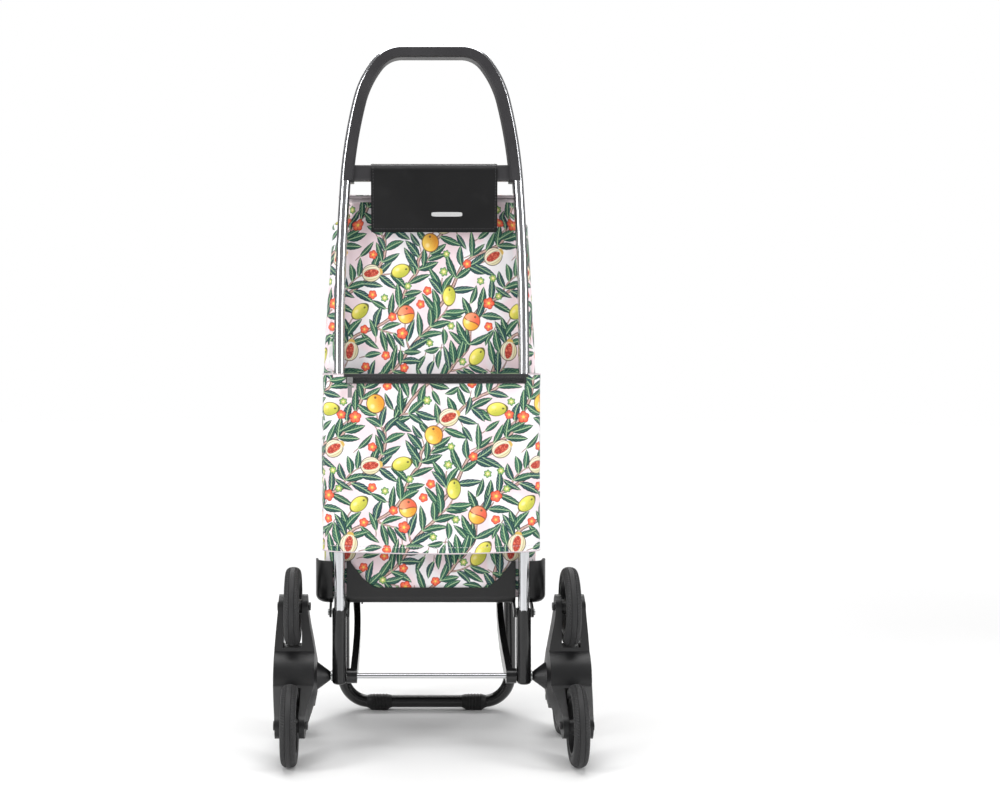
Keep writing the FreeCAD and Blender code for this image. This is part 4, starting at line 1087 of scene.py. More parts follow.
def plain_cloth(name, base, rough=0.7, pitch=0.0009, coords="cloth", lift=0.35):
    n = Net(name)
    if coords == "cloth":
        c = n.uv("cloth")
        u, v, _ = n.xyz(c)
    else:
        c = n.obj()
        u, _, v = n.xyz(c)
    weave = n.mul(n.m("SINE", n.mul(u, 2 * math.pi / pitch)), n.m("SINE", n.mul(v, 2 * math.pi / pitch)))
    slub = n.noise(n.scaled(c, (700.0, 700.0, 700.0)), 1.0, 3.0)
    blotch = n.noise(c, 40.0, 3.0)
    pale = tuple(min(1.0, q * 1.6 + 0.02) for q in base[:3]) + (1.0,)
    col = n.mix(n.add(n.mul(blotch, 0.25), n.mul(n.step(weave, -0.2, 0.9), 0.28)), base, pale)
    return n.set(color=col, rough=n.m("MULTIPLY_ADD", slub, 0.14, rough - 0.07), sheen=0.25, sheen_rough=0.5, spec=0.3,
                 normal=n.bump(n.add(weave, n.mul(slub, 0.8)), lift, 0.0004))


M = {
    "aluminium_tube": brushed("anodised_tube", srgb(214, 215, 218), 0.17, "z", 1.0, 0.2),
    "grip_plastic": moulded("grip_moulding", srgb(44, 43, 45), 0.38, 1100.0, 0.00005, 0.6),
    "black_plastic": moulded("black_moulding", srgb(18, 18, 19), 0.24, 1500.0, 0.00003, 0.5, coat=0.10),
    "tray_plastic": moulded("tray_moulding", srgb(16, 16, 17), 0.36, 1000.0, 0.00006, 0.7),
    "carrier_plastic": moulded("carrier_moulding", srgb(22, 22, 23), 0.38, 1000.0, 0.00006, 0.8),
    "rim_plastic": moulded("rim_moulding", srgb(25, 25, 26), 0.40, 1200.0, 0.00004, 0.6),
    "tyre_rubber": rubber("tyre_compound", srgb(34, 34, 35), 0.56),
    "foot_rubber": rubber("foot_compound", srgb(18, 18, 19), 0.45),
    "chromed_steel": brushed("bright_axle", srgb(216, 217, 219), 0.14, "x", 1.0, 0.3),
    "zinc_steel": brushed("zinc_plate", srgb(186, 188, 188), 0.3, "x", 1.0, 0.2),
    "black_steel": moulded("powder_coat", srgb(12, 12, 13), 0.22, 700.0, 0.00008, 0.4, coat=0.35),
    "nylon": moulded("bush_nylon", srgb(38, 38, 40), 0.5, 1200.0, 0.00004, 0.3),
    "zip_metal": brushed("zip_alloy", srgb(196, 196, 196), 0.22, "x", 1.0, 0.1),
}
LINING = plain_cloth("bag_lining_cloth", srgb(206, 204, 204), 0.75)
BLACK_CLOTH = plain_cloth("black_base_cloth", srgb(33, 33, 35), 0.72)
BINDING = plain_cloth("edge_binding", srgb(196, 184, 188), 0.7, 0.0012, "obj", 0.45)
BINDING_B = plain_cloth("edge_binding_black", srgb(34, 34, 36), 0.66, 0.0012, "obj", 0.45)
TAPE = plain_cloth("zip_tape_cloth", srgb(26, 26, 28), 0.66, 0.0011, "obj", 0.6)
THREAD = plain_cloth("pale_thread", srgb(206, 198, 202), 0.6, 0.0006, "obj", 0.6)
THREAD_B = plain_cloth("black_thread", srgb(52, 52, 55), 0.6, 0.0006, "obj", 0.6)

# =====================================================================================================
# bag: lining, base, rim, seams
# =====================================================================================================
def full_ring(v, inset=0.0, n=240):
    s = np.linspace(-P0 / 2, P0 / 2, n, endpoint=False)
    return bag_map(inset)(s, np.full(n, float(v)))


def ring_normals(v, n=240):
    s = np.linspace(-P0 / 2, P0 / 2, n, endpoint=False)
    z = np.full(n, BAG_LOW + v)
    a, d0, d1 = bag_size(z)
    _, _, nx, nd = ring_var(s, a, d0, d1)
    return np.stack([nx, nd, np.zeros(n)], axis=1)


H = BAG_TOP - BAG_LOW
vs = [2.4, 6, 12, 24] + list(np.linspace(40, H - 12, 42)) + [H - 4, H - 0.8]
nring = 240
rows = [full_ring(v, 2.0, nring) for v in vs]
pts = np.stack(rows, axis=1).reshape(-1, 3)
uv = [(P0 / nring * i * MM, v * MM) for i in range(nring) for v in vs]
lining = raw_mesh("bag_lining", pts, grid_faces(nring, len(vs), True, False), LINING, uv=uv, slot="bag_fabric")

# floor of the bag: black coated cloth on a stiffening board, two skins joined at the edge
board = []
lev = [(1.0, 225.6, -1), (0.9, 225.4, -1), (0.6, 225.2, -1), (0.3, 225.0, -1), (0.02, 225.0, -1)]
outer = full_ring(2.6, 2.4, 96)
cen = np.array([0.0, 137.0, 0.0])
for k, z, _ in lev:
    for i in range(96):
        p = cen + (outer[i] - cen) * k
        board.append((p[0], p[1], z + 0.35 * math.sin(p[0] / 21.0) * math.sin(p[1] / 17.0) * (1 - k)))
for k, z, _ in reversed(lev):
    for i in range(96):
        p = cen + (outer[i] - cen) * k
        board.append((p[0], p[1], z + 2.6 + 0.8 * math.sin(p[0] / 31.0 + 1) * math.sin(p[1] / 23.0) * (1 - k)))
fc = []
for L in range(9):
    for i in range(96):
        j = (i + 1) % 96
        fc.append((L * 96 + i, L * 96 + j, (L + 1) * 96 + j, (L + 1) * 96 + i))
fc.append(tuple(4 * 96 + i for i in range(96)))
fc.append(tuple(5 * 96 + i for i in reversed(range(96))))
fc = [f for f in fc if len(f) == 4 and not (f[0] // 96 == 4)] + fc[-2:]
for i in range(96):
    j = (i + 1) % 96
    fc.append((9 * 96 + i, 9 * 96 + j, j, i))
bag_floor = raw_mesh("bag_floor_cloth", board, fc, BLACK_CLOTH, uv=[(p[0] * MM, p[1] * MM) for p in board], slot="bag_fabric")
fix_normals(bag_floor)

# binding folded over the rim, with its row of stitches
rim_path = full_ring(H - 4.4, 1.0, 320)
rim_path[:, 2] = BAG_TOP - 4.6
rim_n = ring_normals(H - 4.4, 320)
sec = [(-1.75, -0.6), (-1.9, 1.0), (-1.75, 3.4), (-1.0, 4.4), (0.0, 4.6), (1.0, 4.4), (1.75, 3.4), (1.9, 1.0), (1.75, -0.6), (0.9, -0.9), (-0.9, -0.9)]
rim_binding = sweep_mesh("bag_rim_binding", rim_path, sec, BINDING, up=(0, 0, 1), closed=True, slot="bag_fabric")
rim_stitch = stitches("bag_rim_stitching", rim_path + rim_n * 1.85 + np.array([0, 0, 0.9]), rim_n, THREAD, closed=True)

# corded seams down the two front corners, and around the foot of the bag
seams = []
for sgn in (-1, 1):
    vv = np.linspace(6.0, H - 9.0, 150)
    p = bag_map(-0.5)(np.full(150, sgn * CORNER_MID), vv)
    q = bag_map(-2.4)(np.full(150, sgn * CORNER_MID), vv)
    seams.append(sweep_mesh("seam", p + (q - p) * 0.5, circle(1.55, 8), BINDING, up=(0, 1, 0), slot="bag_fabric"))
foot = full_ring(7.0, 0.2, 300)
seams.append(sweep_mesh("seam", foot, circle(1.6, 8), BINDING, up=(0, 0, 1), closed=True, slot="bag_fabric"))
seam_piping = joined("bag_corner_piping", seams)
st = []
for sgn in (-1, 1):
    for off in (-4.2, 4.2):
        vv = np.linspace(10.0, H - 12.0, 220)
        s = np.full(220, sgn * CORNER_MID + off)
        p = bag_map(-0.05)(s, vv)
        q = bag_map(-1.0)(s, vv)
        st.append(stitches("st", p, (q - p), THREAD))
s = np.linspace(-P0 / 2, P0 / 2, 400, endpoint=False)
p = bag_map(-0.05)(s, np.full(400, 12.5))
q = bag_map(-1.0)(s, np.full(400, 12.5))
st.append(stitches("st", p, q - p, THREAD, closed=True))
seam_stitch = joined("bag_seam_stitching", st)
BAG_SET = [bag_cloth, bag_front, lining, bag_floor, rim_binding, rim_stitch, seam_piping, seam_stitch]


# =====================================================================================================
# lid: printed cover with a skirt, bound edge, hinge seam along the rear
# =====================================================================================================
LID_TOP = [(19.5, 829.6), (19.8, 832.3), (24.0, 833.6), (60.0, 838.0), (110.0, 842.0), (165.0, 844.5), (205.0, 844.2), (228.0, 841.6),
           (238.0, 837.5), (244.5, 830.5), (247.6, 820.0), (249.8, 805.0), (251.0, 788.0), (251.4, 770.0)]
LID_TOP = resample([(0.0, a, b) for a, b in LID_TOP], 1.5)[:, 1:]
LID_RUN = np.concatenate([[0], np.cumsum(np.linalg.norm(np.diff(LID_TOP, axis=0), axis=1))])
LID_LEN = float(LID_RUN[-1])
LID_HALF = 138.0


def lid_surface(x, t, drop=0.0):
    """x across from the middle, not used; t along the section from the rear edge."""
    d = np.interp(t, LID_RUN, LID_TOP[:, 0])
    z = np.interp(t, LID_RUN, LID_TOP[:, 1])
    return d, z


def lid_map(inset=0.0):
    """u: across, its ends turned down as side skirts; v: from the rear edge forwards and down the front."""
    def f(u, v):
        v = np.asarray(v, float)
        u = np.asarray(u, float)
        d = np.interp(v, LID_RUN, LID_TOP[:, 0])
        z = np.interp(v, LID_RUN, LID_TOP[:, 1])
        dd = np.interp(v + 1.0, LID_RUN, LID_TOP[:, 0]) - np.interp(v - 1.0, LID_RUN, LID_TOP[:, 0])
        dz = np.interp(v + 1.0, LID_RUN, LID_TOP[:, 1]) - np.interp(v - 1.0, LID_RUN, LID_TOP[:, 1])
        L = np.sqrt(dd ** 2 + dz ** 2) + 1e-9
        nd, nz = -dz / L, dd / L
        # plan outline: half width round the front corners, worked out here but not used below
        r = 34.0
        front = 250.5
        over = np.clip(d - (front - r), 0, r)
        half = LID_HALF - (r - np.sqrt(np.maximum(r * r - over * over, 0.0)))
        rr = 7.0
        au = np.abs(u)
        sg = np.where(u < 0, -1.0, 1.0)
        flat = LID_HALF - rr
        k = np.clip(half / LID_HALF, 0.0, 1.0)
        th = np.clip((au - flat) / rr, 0, math.pi / 2)
        x = np.minimum(au, flat) + rr * np.sin(th)
        down = rr * (1 - np.cos(th)) + np.maximum(au - flat - rr * math.pi / 2, 0)
        wav = 0.9 * (vnoise(u / 36.0 + 3, v / 42.0, 21) - 0.5) * 2 + 0.5 * ridge(vnoise(u / 17.0, v / 55.0, 22), 2.5)
        sag = -1.6 * np.cos(np.clip(au / flat, 0, 1) * math.pi / 2) * np.sin(np.clip(v / 235.0, 0, 1) * math.pi)
        k2 = (1.0 - smooth(th, 0, 1.2))
        off = wav * 0.7 - 0.4 - inset
        X = x * sg * 1.0
        D = d + nd * off * k2
        Z = z + nz * off * k2 + sag * k2 - down
        side = smooth(th, 0.3, 1.4)
        X = X + sg * side * (wav * 0.6 - 0.2 - inset + down * 0.012)
        return np.stack([X, D, Z], axis=1)
    return f


def lid_panel_map(inset=0.0):
    """Top and front in one, as lid_map gives them."""
    def f(u, v):
        p = lid_map(inset)(u, v)
        return p
    return f


# top with its turned-down front, cut so that its corners follow the rounded outline
LID_FLAT = LID_HALF - 7.0 + 7.0 * math.pi / 2
SKIRT = 46.0
I_TOP_END = float(np.interp(215.0, LID_TOP[:, 0], LID_RUN))


def lid_ring(w, drop, inset=0.0):
    """Skirt: w runs round the outline from the rear left, along the side, front and other side (mm); drop is down."""
    a, r, d0, d1 = LID_HALF + 0.4, 34.0, 20.5, 251.2
    side = (d1 - r) - d0
    arc = r * math.pi / 2
    fr = 2 * (a - r)
    w = np.asarray(w, float)
    t1 = np.clip(w, 0, side)
    th1 = np.clip((w - side) / r, 0, math.pi / 2)
    t2 = np.clip(w - side - arc, 0, fr)
    th2 = np.clip((w - side - arc - fr) / r, 0, math.pi / 2)
    t3 = np.clip(w - side - 2 * arc - fr, 0, side)
    x = -a + r * (1 - np.cos(th1)) + t2 + r * np.sin(th2)
    d = d0 + t1 + r * np.sin(th1) - r * (1 - np.cos(th2)) - t3
    ang = th1 + th2
    nx, nd = -np.cos(ang), np.sin(ang)
    top = np.interp(np.clip(d, 20, 240), LID_TOP[:, 0][:int(len(LID_TOP) * 0.8)], LID_TOP[:, 1][:int(len(LID_TOP) * 0.8)]) - 2.0
    top = np.where(d > 200, np.minimum(top, 843.0 - (np.clip(d - 200, 0, 60) / 51.0) ** 2 * 3.4), top)
    gath = 0.8 * np.sin(w / 8.0 + 1.7 * np.sin(w / 31.0)) * np.exp(-drop / 20.0)
    flare = 1.1 * (vnoise(w / 42.0, drop / 60.0, 31) - 0.35) * smooth(drop, 4, 40) * 2.0 + drop * 0.006
    out = gath * 0.6 + flare - inset
    rise = np.clip(7.0 - drop, 0, 7.0)
    tuck = 7.0 - np.sqrt(np.maximum(49.0 - rise ** 2, 0.0))
    out = out - tuck
    z = top - drop
    return np.stack([x + nx * out, d + nd * out, z], axis=-1), np.stack([nx, nd, np.zeros_like(nx)], axis=-1)


RING_LEN = 2 * ((251.2 - 34.0) - 20.5) + 34.0 * math.pi + 2 * (LID_HALF + 0.6 - 34.0)


def skirt_depth(w):
    """Front hangs lower than the sides."""
    side = (251.2 - 34.0) - 20.5
    t = np.minimum(w, RING_LEN - w)
    arc = 34.0 * math.pi / 2
    return 24.0 + 48.0 * smooth(t, side + arc * 0.6, side + arc + 34.0)


def skirt_map(w, v):
    q = np.clip(v, 0, 74.0) / 74.0
    p, _ = lid_ring(RING_LEN - w, q * skirt_depth(w))
    return p


def top_map(u, v):
    """Top panel: u across, v forwards; drawn in to the outline at the front corners."""
    d = 20.0 + v
    r = 34.0
    over = np.clip(d - (251.0 - r), 0, r - 0.2)
    half = LID_HALF - (r - np.sqrt(np.maximum(r * r - over * over, 0.0)))
    x = u / LID_HALF * half
    z = np.interp(d, LID_TOP[:, 0][:int(len(LID_TOP) * 0.8)], LID_TOP[:, 1][:int(len(LID_TOP) * 0.8)])
    z = np.where(d > 200, np.minimum(z, 844.3 - (np.clip(d - 200, 0, 60) / 51.0) ** 2 * 3.6), z)
    e = np.minimum(LID_HALF - np.abs(u), np.minimum(251.0 - d, 60.0)) 
    sink = 2.2 * (1 - smooth(e, 0.0, 8.0))
    wav = 1.0 * (vnoise(u / 46.0 + 3, v / 52.0, 21) - 0.5) * 2 + 0.7 * ridge(vnoise(u / 22.0, v / 70.0, 22), 2.5)
    sag = 2.0 * np.cos(np.clip(np.abs(u) / LID_HALF, 0, 1) * math.pi / 2) * np.sin(np.clip(v / 225.0, 0, 1) * math.pi)
    z = z - sink - sag + (wav - 0.8) * smooth(e, 0, 14.0) * smooth(v, 0, 14.0)
    return np.stack([x, d, z], axis=1)


lid_top = print_piece("lid_top_cloth", -LID_HALF, LID_HALF, 0.0, 230.4, top_map, (80.0, 30.0))
lid_skirt = print_piece("lid_skirt_cloth", 0.0, RING_LEN, 0.0, 74.0, lambda w, v: skirt_map(w, 74.0 - v), (12.0, 95.0))
# lining under the top and inside the skirt
us = np.linspace(-LID_HALF + 1.2, LID_HALF - 1.2, 60)
vs = np.linspace(0.8, 229.2, 50)
UU, VV = np.meshgrid(us, vs, indexing="ij")
pt = top_map(UU.ravel(), VV.ravel())
pt[:, 2] -= 1.5
inner_top = raw_mesh("lid_lining_top", pt, grid_faces(60, 50, flip=True), LINING, uv=[(a * MM, b * MM) for a, b in zip(UU.ravel(), VV.ravel())], slot="bag_fabric")
ws = np.linspace(0, RING_LEN, 300)
dr = np.linspace(1.0, 1.0 * 74.0, 14)
WW, DD = np.meshgrid(ws, dr, indexing="ij")
q, nq = lid_ring(RING_LEN - WW.ravel(), DD.ravel() / 74.0 * skirt_depth(WW.ravel()), 1.3)
inner_skirt = raw_mesh("lid_lining_skirt", q, grid_faces(300, 14), LINING, uv=[(a * MM, b * MM) for a, b in zip(WW.ravel(), DD.ravel())], slot="bag_fabric")
lid_lining = joined("lid_lining", [inner_top, inner_skirt])
# corded seam where the skirt joins the top
w = np.linspace(0, RING_LEN, 420)
p, nr_ = lid_ring(w, np.full(420, 2.4))
cord_path = p + nr_ * 1.6 + np.array([0, 0, 1.4])
lid_piping = sweep_mesh("lid_edge_piping", cord_path, circle(1.7, 8), BINDING, slot="bag_fabric")
# binding along the hanging edge
p, nr_ = lid_ring(w, skirt_depth(w) - 3.4)
sec = [(-1.3, -3.6), (-1.45, 0), (-1.3, 3.3), (-0.5, 4.0), (0.5, 4.0), (1.3, 3.3), (1.45, 0), (1.3, -3.6), (0.5, -4.0), (-0.5, -4.0)]
lid_binding = sweep_mesh("lid_skirt_binding", p - nr_ * 0.6, sec, BINDING, slot="bag_fabric")
pp, _ = lid_ring(w, skirt_depth(w) - 5.4)
lid_st = [stitches("st", p - nr_ * 0.6 + nr_ * 1.42 + np.array([0, 0, 2.2]), nr_, THREAD)]
p, _ = lid_ring(w, np.full(420, 8.6))
lid_st.append(stitches("st", p + nr_ * 0.05, nr_, THREAD))
# two rows through the hinge seam
for off in (3.0, 8.0):
    uu = np.linspace(-LID_HALF + 5, LID_HALF - 5, 160)
    p = top_map(uu, np.full(160, off))
    lid_st.append(stitches("st", p + np.array([0, 0, 0.1]), (0, -0.2, 1.0), THREAD))
lid_stitch = joined("lid_stitching", lid_st)
# rolled hem of the rear edge, from which the lid hinges
hem = [(x, 20.6, 830.6 + 0.5 * math.sin(x / 13.0)) for x in np.linspace(-LID_HALF + 1, LID_HALF - 1, 120)]
lid_hem = sweep_mesh("lid_hinge_hem", hem, circle(1.2, 8, 2.1), BINDING, slot="bag_fabric")
# two snap fasteners on the front skirt
def snap(name, x, d, z):
    prof = [(0.0, 0.0), (0.0, 6.2), (-0.5, 6.9), (-1.2, 7.0), (-2.0, 6.4), (-2.4, 5.0), (-2.1, 3.6), (-2.2, 2.2), (-2.35, 0.0)]
    pts, n = [], 40
    for i in range(n):
        a = 2 * math.pi * i / n
        for q, r in prof:
            pts.append((x + r * math.cos(a), d - q, z + r * math.sin(a)))
    o = raw_mesh(name, pts, grid_faces(n, len(prof), True, False), M["zip_metal"], slot="zip_metal")
    bm = bmesh.new(); bm.from_mesh(o.data)
    bmesh.ops.remove_doubles(bm, verts=bm.verts[:], dist=1e-6)
    bmesh.ops.recalc_face_normals(bm, faces=bm.faces[:])
    bm.to_mesh(o.data); bm.free()
    return o
snaps = joined("lid_snaps", [snap("sn", -70.0, 252.4, 792.0), snap("sn", 70.0, 252.4, 792.0)])
LID_SET = [lid_top, lid_skirt, lid_lining, lid_piping, lid_binding, lid_stitch, lid_hem, snaps]


# =====================================================================================================
# rear pocket: a printed sleeve behind which the uprights run
# =====================================================================================================
PK_LOW, PK_TOP = 296.0, 563.2
PR = 16.0


def pocket_path(z):
    return 163.0 - 1.2 * ((z - PK_LOW) / (PK_TOP - PK_LOW)), -20.0


def pocket_map(inset=0.0):
    def f(u, v):
        u = np.asarray(u, float)
        v = np.asarray(v, float)
        x0 = 163.0
        low = 4.6 * (u / x0) ** 2
        low = np.minimum(low, 4.6)
        z = PK_LOW + low + v * (1 - low / (PK_TOP - PK_LOW))
        au, sg = np.abs(u), np.where(u < 0, -1.0, 1.0)
        half = x0
        th = np.clip((au - (half - PR)) / PR, 0, math.pi / 2 - 0.03)
        run = np.maximum(au - (half - PR) - PR * (math.pi / 2 - 0.03), 0)
        x = np.minimum(au, half - PR) + PR * np.sin(th)
        d = -20.0 + PR * (1 - np.cos(th))
        # the side runs forward and leans in until it meets the bag
        bag_a = 160.0 - 10.0 * (z - BAG_LOW) / (BAG_TOP - BAG_LOW)
        lean = smooth(run, 0.0, 54.0)
        x_end = bag_a + 0.6
        x = x - (half - x_end) * lean * np.where(run > 0, 1, 0)
        d = d + run
        nx, nd = np.sin(th), -np.cos(th)
        rear = smooth(nd * -1, 0.5, 1.0)
        # cloth lies against the two uprights and slackens between and below them
        tube = np.exp(-((au - 138.0) / 15.0) ** 2)
        mid_ = np.cos(np.clip(au / 138.0, 0, 1) * math.pi / 2)
        hang = (vnoise(u / 70.0 + 5, v / 210.0, 41) - 0.5) * 2
        fold = ridge(vnoise(u / 44.0 + v / 160.0, v / 130.0, 42), 2.6) - 0.3
        cross = ridge(vnoise(u / 90.0, v / 26.0 + np.abs(u) / 120.0, 43), 3.0) - 0.2
        pull = np.sin(u / 7.0 + 2.0 * np.sin(u / 26.0)) * np.exp(-(PK_TOP - PK_LOW - v) / 14.0) * 0.35
        k = 0.9 * hang + 0.8 * fold * (0.35 + 0.65 * mid_) + 0.45 * cross * (1 - tube) + pull
        sag_in = 2.6 * mid_ * np.sin(np.clip(v / (PK_TOP - PK_LOW), 0, 1) * math.pi)
        off = (k - 1.4) * (1 - 0.75 * tube) * smooth(PK_TOP - PK_LOW - v, 0, 20) * 1.0 + 0.5 * tube - sag_in * 0.6
        low_flare = 1.4 * np.exp(-v / 22.0) * np.sin(u / 31.0 + 0.7) * (1 - tube)
        off = off + low_flare
        off = np.clip(off, -4.6, 0.9) - inset
        side = 1 - rear
        off = off * (1 - 0.5 * side)
        return np.stack([(x + nx * off) * sg, d + nd * off, z], axis=1)
    return f


PK_ARC = (163.0 - PR) + PR * (math.pi / 2 - 0.03)
PK_HALF = PK_ARC + 56.0
pocket = print_piece("pocket_cloth", -PK_HALF, PK_HALF, 0.0, PK_TOP - PK_LOW, pocket_map(), (-18.0, -44.0))
us = np.linspace(-PK_HALF, PK_HALF, 180)
vs = np.linspace(0.2, PK_TOP - PK_LOW - 0.2, 60)
UU, VV = np.meshgrid(us, vs, indexing="ij")
pk_lining = raw_mesh("pocket_lining", pocket_map(1.1)(UU.ravel(), VV.ravel()), grid_faces(180, 60, flip=True), LINING,
                     uv=[(a * MM, b * MM) for a, b in zip(UU.ravel(), VV.ravel())], slot="bag_fabric")
u = np.linspace(-PK_HALF, PK_HALF, 420)
HP = PK_TOP - PK_LOW
hem_low = pocket_map(0.5)(u, np.full(420, 0.0))
sec = circle(0.95, 8, 1.1)
pk_hem = sweep_mesh("pocket_hem_roll", hem_low, sec, BINDING, slot="bag_fabric")
hem_top = pocket_map(0.5)(u, np.full(420, HP))
pk_roll = sweep_mesh("pocket_top_roll", hem_top + np.array([0, 0, -0.3]), circle(0.95, 8, 1.1), BINDING, slot="bag_fabric")
ut = np.linspace(-131.0, 143.0, 300)
hem_top = pocket_map(0.5)(ut, np.full(300, HP))
sec = [(-1.35, -3.4), (-1.5, 0), (-1.3, 1.2), (0, 1.8), (1.3, 1.2), (1.5, 0), (1.35, -3.4), (0, -3.7)]
pk_top = sweep_mesh("pocket_top_binding", hem_top + np.array([0, 0, -1.0]), sec, BINDING_B, slot="zip_tape")


def pk_line(u, v, lift=0.08):
    a = pocket_map(-lift)(u, v)
    b = pocket_map(-1.0)(u, v)
    return a, b - a


pst = []
for off in (9.0,):
    a, nn = pk_line(u, np.full(420, off))
    pst.append(stitches("st", a, nn, THREAD))
for sgn in (-1, 1):
    for off in (2.5, 8.5):
        v = np.linspace(3.0, HP - 5.0, 200)
        a, nn = pk_line(np.full(200, sgn * (PK_HALF - off)), v)
        pst.append(stitches("st", a, nn, THREAD))
pk_stitch = joined("pocket_stitching", pst)
# seam tape that closes the pocket's side edge onto the bag
tapes = []
for sgn in (-1, 1):
    v = np.linspace(0.0, HP, 120)
    a = pocket_map(-0.1)(np.full(120, sgn * PK_HALF), v)
    tapes.append(sweep_mesh("tp", a, circle(1.0, 8, 1.3), BINDING, up=(0, 1, 0), slot="bag_fabric"))
pk_seam = joined("pocket_side_seams", tapes)
PK_SET = [pocket, pk_lining, pk_hem, pk_roll, pk_top, pk_stitch, pk_seam]

# ------------------------------------------------------------------------------------------ the zip
ZX0, ZX1 = -127.0, 139.0


def zip_d(x):
    """How far back the cloth stands behind the zip at x."""
    x = np.asarray(x, float)
    return pocket_map(-0.3)(x, np.full(x.shape, HP - 9.0))[:, 1]


xs = np.linspace(ZX0, ZX1, 200)
tp = []
for z0, z1 in ((549.2, 553.9), (555.1, 559.8)):
    sec_pts = []
    for x in xs:
        base = -21.0 + 0.12 * math.sin(x / 19.0)
        for dd, zz in ((0.0, z0), (-0.55, z0 + 0.2), (-0.75, (z0 + z1) / 2), (-0.55, z1 - 0.2), (0.0, z1), (0.45, z1), (0.45, z0)):
            sec_pts.append((x, base + dd, zz + 0.12 * math.sin(x / 6.0)))
    tp.append(raw_mesh("tape", sec_pts, grid_faces(200, 7, False, True) + [tuple(range(7)), tuple(199 * 7 + k for k in reversed(range(7)))],
                       TAPE, slot="zip_tape"))
zip_tapes = joined("zip_tape_strips", tp)
fix_normals(zip_tapes)
coil = []
turns = int((ZX1 - ZX0 - 4) / 1.7)
for i in range(turns * 10 + 1):
    a = 2 * math.pi * i / 10
    coil.append((ZX0 + 2 + 1.7 * i / 10, -21.75 + 0.75 * math.cos(a), 554.5 + 2.0 * math.sin(a)))
zip_coil = sweep_mesh("zip_coil", coil, circle(0.42, 6), TAPE, up=(1, 0.1, 0), slot="zip_tape")
zst = []
for z in (550.4, 558.7):
    zst.append(stitches("st", [(x, -21.78, z) for x in xs], (0, -1, 0), THREAD_B, slot="zip_tape"))
ends = []
for x in (ZX0 + 1.2, ZX1 - 1.2):
    pts = []
    for k, (r1, dd) in enumerate(((1.0, 0.6), (1.0, -0.6), (0.86, -1.15), (0.6, -1.3))):
        for (a, b) in ((-1.9, -5.0), (1.9, -5.0), (2.2, -4.6), (2.2, 4.6), (1.9, 5.0), (-1.9, 5.0), (-2.2, 4.6), (-2.2, -4.6)):
            pts.append((x + a * r1, -21.3 + dd, 554.5 + b * (0.9 + 0.1 * r1)))
    fcs = []
    for L in range(3):
        for i in range(8):
            j = (i + 1) % 8
            fcs.append((L * 8 + i, L * 8 + j, (L + 1) * 8 + j, (L + 1) * 8 + i))
    fcs.append(tuple(24 + i for i in range(8)))
    fcs.append(tuple(reversed(range(8))))
    ends.append(raw_mesh("en", pts, fcs, TAPE, slot="zip_tape"))
zip_stitch = joined("zip_stitching", zst)
zip_ends = joined("zip_end_tabs", ends)
fix_normals(zip_ends)
ZIP_SET = [zip_tapes, zip_coil, zip_stitch, zip_ends]


# =====================================================================================================
# flap: a strip of coated cloth hung over the cross bar, its two ends stitched level
# =====================================================================================================
def vinyl(name, base):
    n = Net(name)
    c = n.uv("cloth")
    cells = n.voronoi(n.scaled(c, (1.0, 1.0, 1.0)), 620.0)
    crease = n.noise(c, 30.0, 4.0, 0.6)
    broad = n.noise(c, 11.0, 2.0)
    pale = tuple(q * 1.7 + 0.006 for q in base[:3]) + (1.0,)
    col = n.mix(n.m("MULTIPLY_ADD", broad, 0.5, 0.0), base, pale)
    rg = n.add(n.m("MULTIPLY_ADD", broad, 0.14, 0.36), n.mul(n.step(crease, 0.55, 0.7), 0.10))
    return n.set(color=col, rough=rg, spec=0.32,
                 normal=n.bump(cells, 0.16, 0.0003, n.bump(crease, 0.18, 0.003)))


VINYL = vinyl("flap_coated_cloth", srgb(10, 10, 11))
FX, FW = 3.6, 94.5
F_LOW, F_TOP = 776.4, 877.6
FR = 12.2


def flap_map(u, v, lift=0.0):
    """u across -FW..FW, v along from the lower rear edge over the bar to the lower front edge."""
    u = np.asarray(u, float)
    v = np.asarray(v, float)
    side_len = (F_TOP - FR) - F_LOW
    arc = math.pi * FR
    th = np.clip((v - side_len) / FR, 0, math.pi)
    d = -FR * np.cos(th)
    z = F_LOW + np.minimum(v, side_len) + FR * np.sin(th) - np.maximum(v - side_len - arc, 0)
    hang = np.minimum(v, 2 * side_len + arc - v)
    free = np.clip(1 - hang / side_len, 0, 1)
    nd, nz = -np.cos(th), np.sin(th)
    rear = np.where(v < side_len + arc / 2, 1.0, -1.0)
    k = 0.75 * np.sin(u / 34.0 + 0.6 * rear) * free + 0.5 * (vnoise(u / 30.0, v / 40.0, 51) - 0.5) * 2 * free + 0.35 * np.sin(u / 60.0 + v / 28.0) * free
    curl = 0.9 * free ** 3
    k = k * 0.75 - curl
    x = FX + u * (1 - 0.006 * free)
    return np.stack([x, d + nd * (k + lift), z + nz * (lift)], axis=1)


F_LEN = 2 * ((F_TOP - FR) - F_LOW) + math.pi * FR
nu, nv = 60, 150
us = np.linspace(-FW, FW, nu)
vs = np.linspace(0, F_LEN, nv)
UU, VV = np.meshgrid(us, vs, indexing="ij")
o1 = flap_map(UU.ravel(), VV.ravel(), 0.55)
o2 = flap_map(UU.ravel(), VV.ravel(), -0.55)
pts = np.vstack([o1, o2])
n1 = nu * nv
fcs = grid_faces(nu, nv) + [tuple(n1 + q for q in reversed(f)) for f in grid_faces(nu, nv)]
loop = [i * nv for i in range(nu)] + [(nu - 1) * nv + j for j in range(1, nv)] + [i * nv + nv - 1 for i in reversed(range(nu - 1))] + [j for j in reversed(range(1, nv - 1))]
for a, b in zip(loop, loop[1:] + loop[:1]):
    fcs.append((a, n1 + a, n1 + b, b))
uvs = [(a * MM, b * MM) for a, b in zip(UU.ravel(), VV.ravel())] * 2
flap = raw_mesh("hanging_flap_cloth", pts, fcs, VINYL, uv=uvs, slot="flap_vinyl", sharp=40)
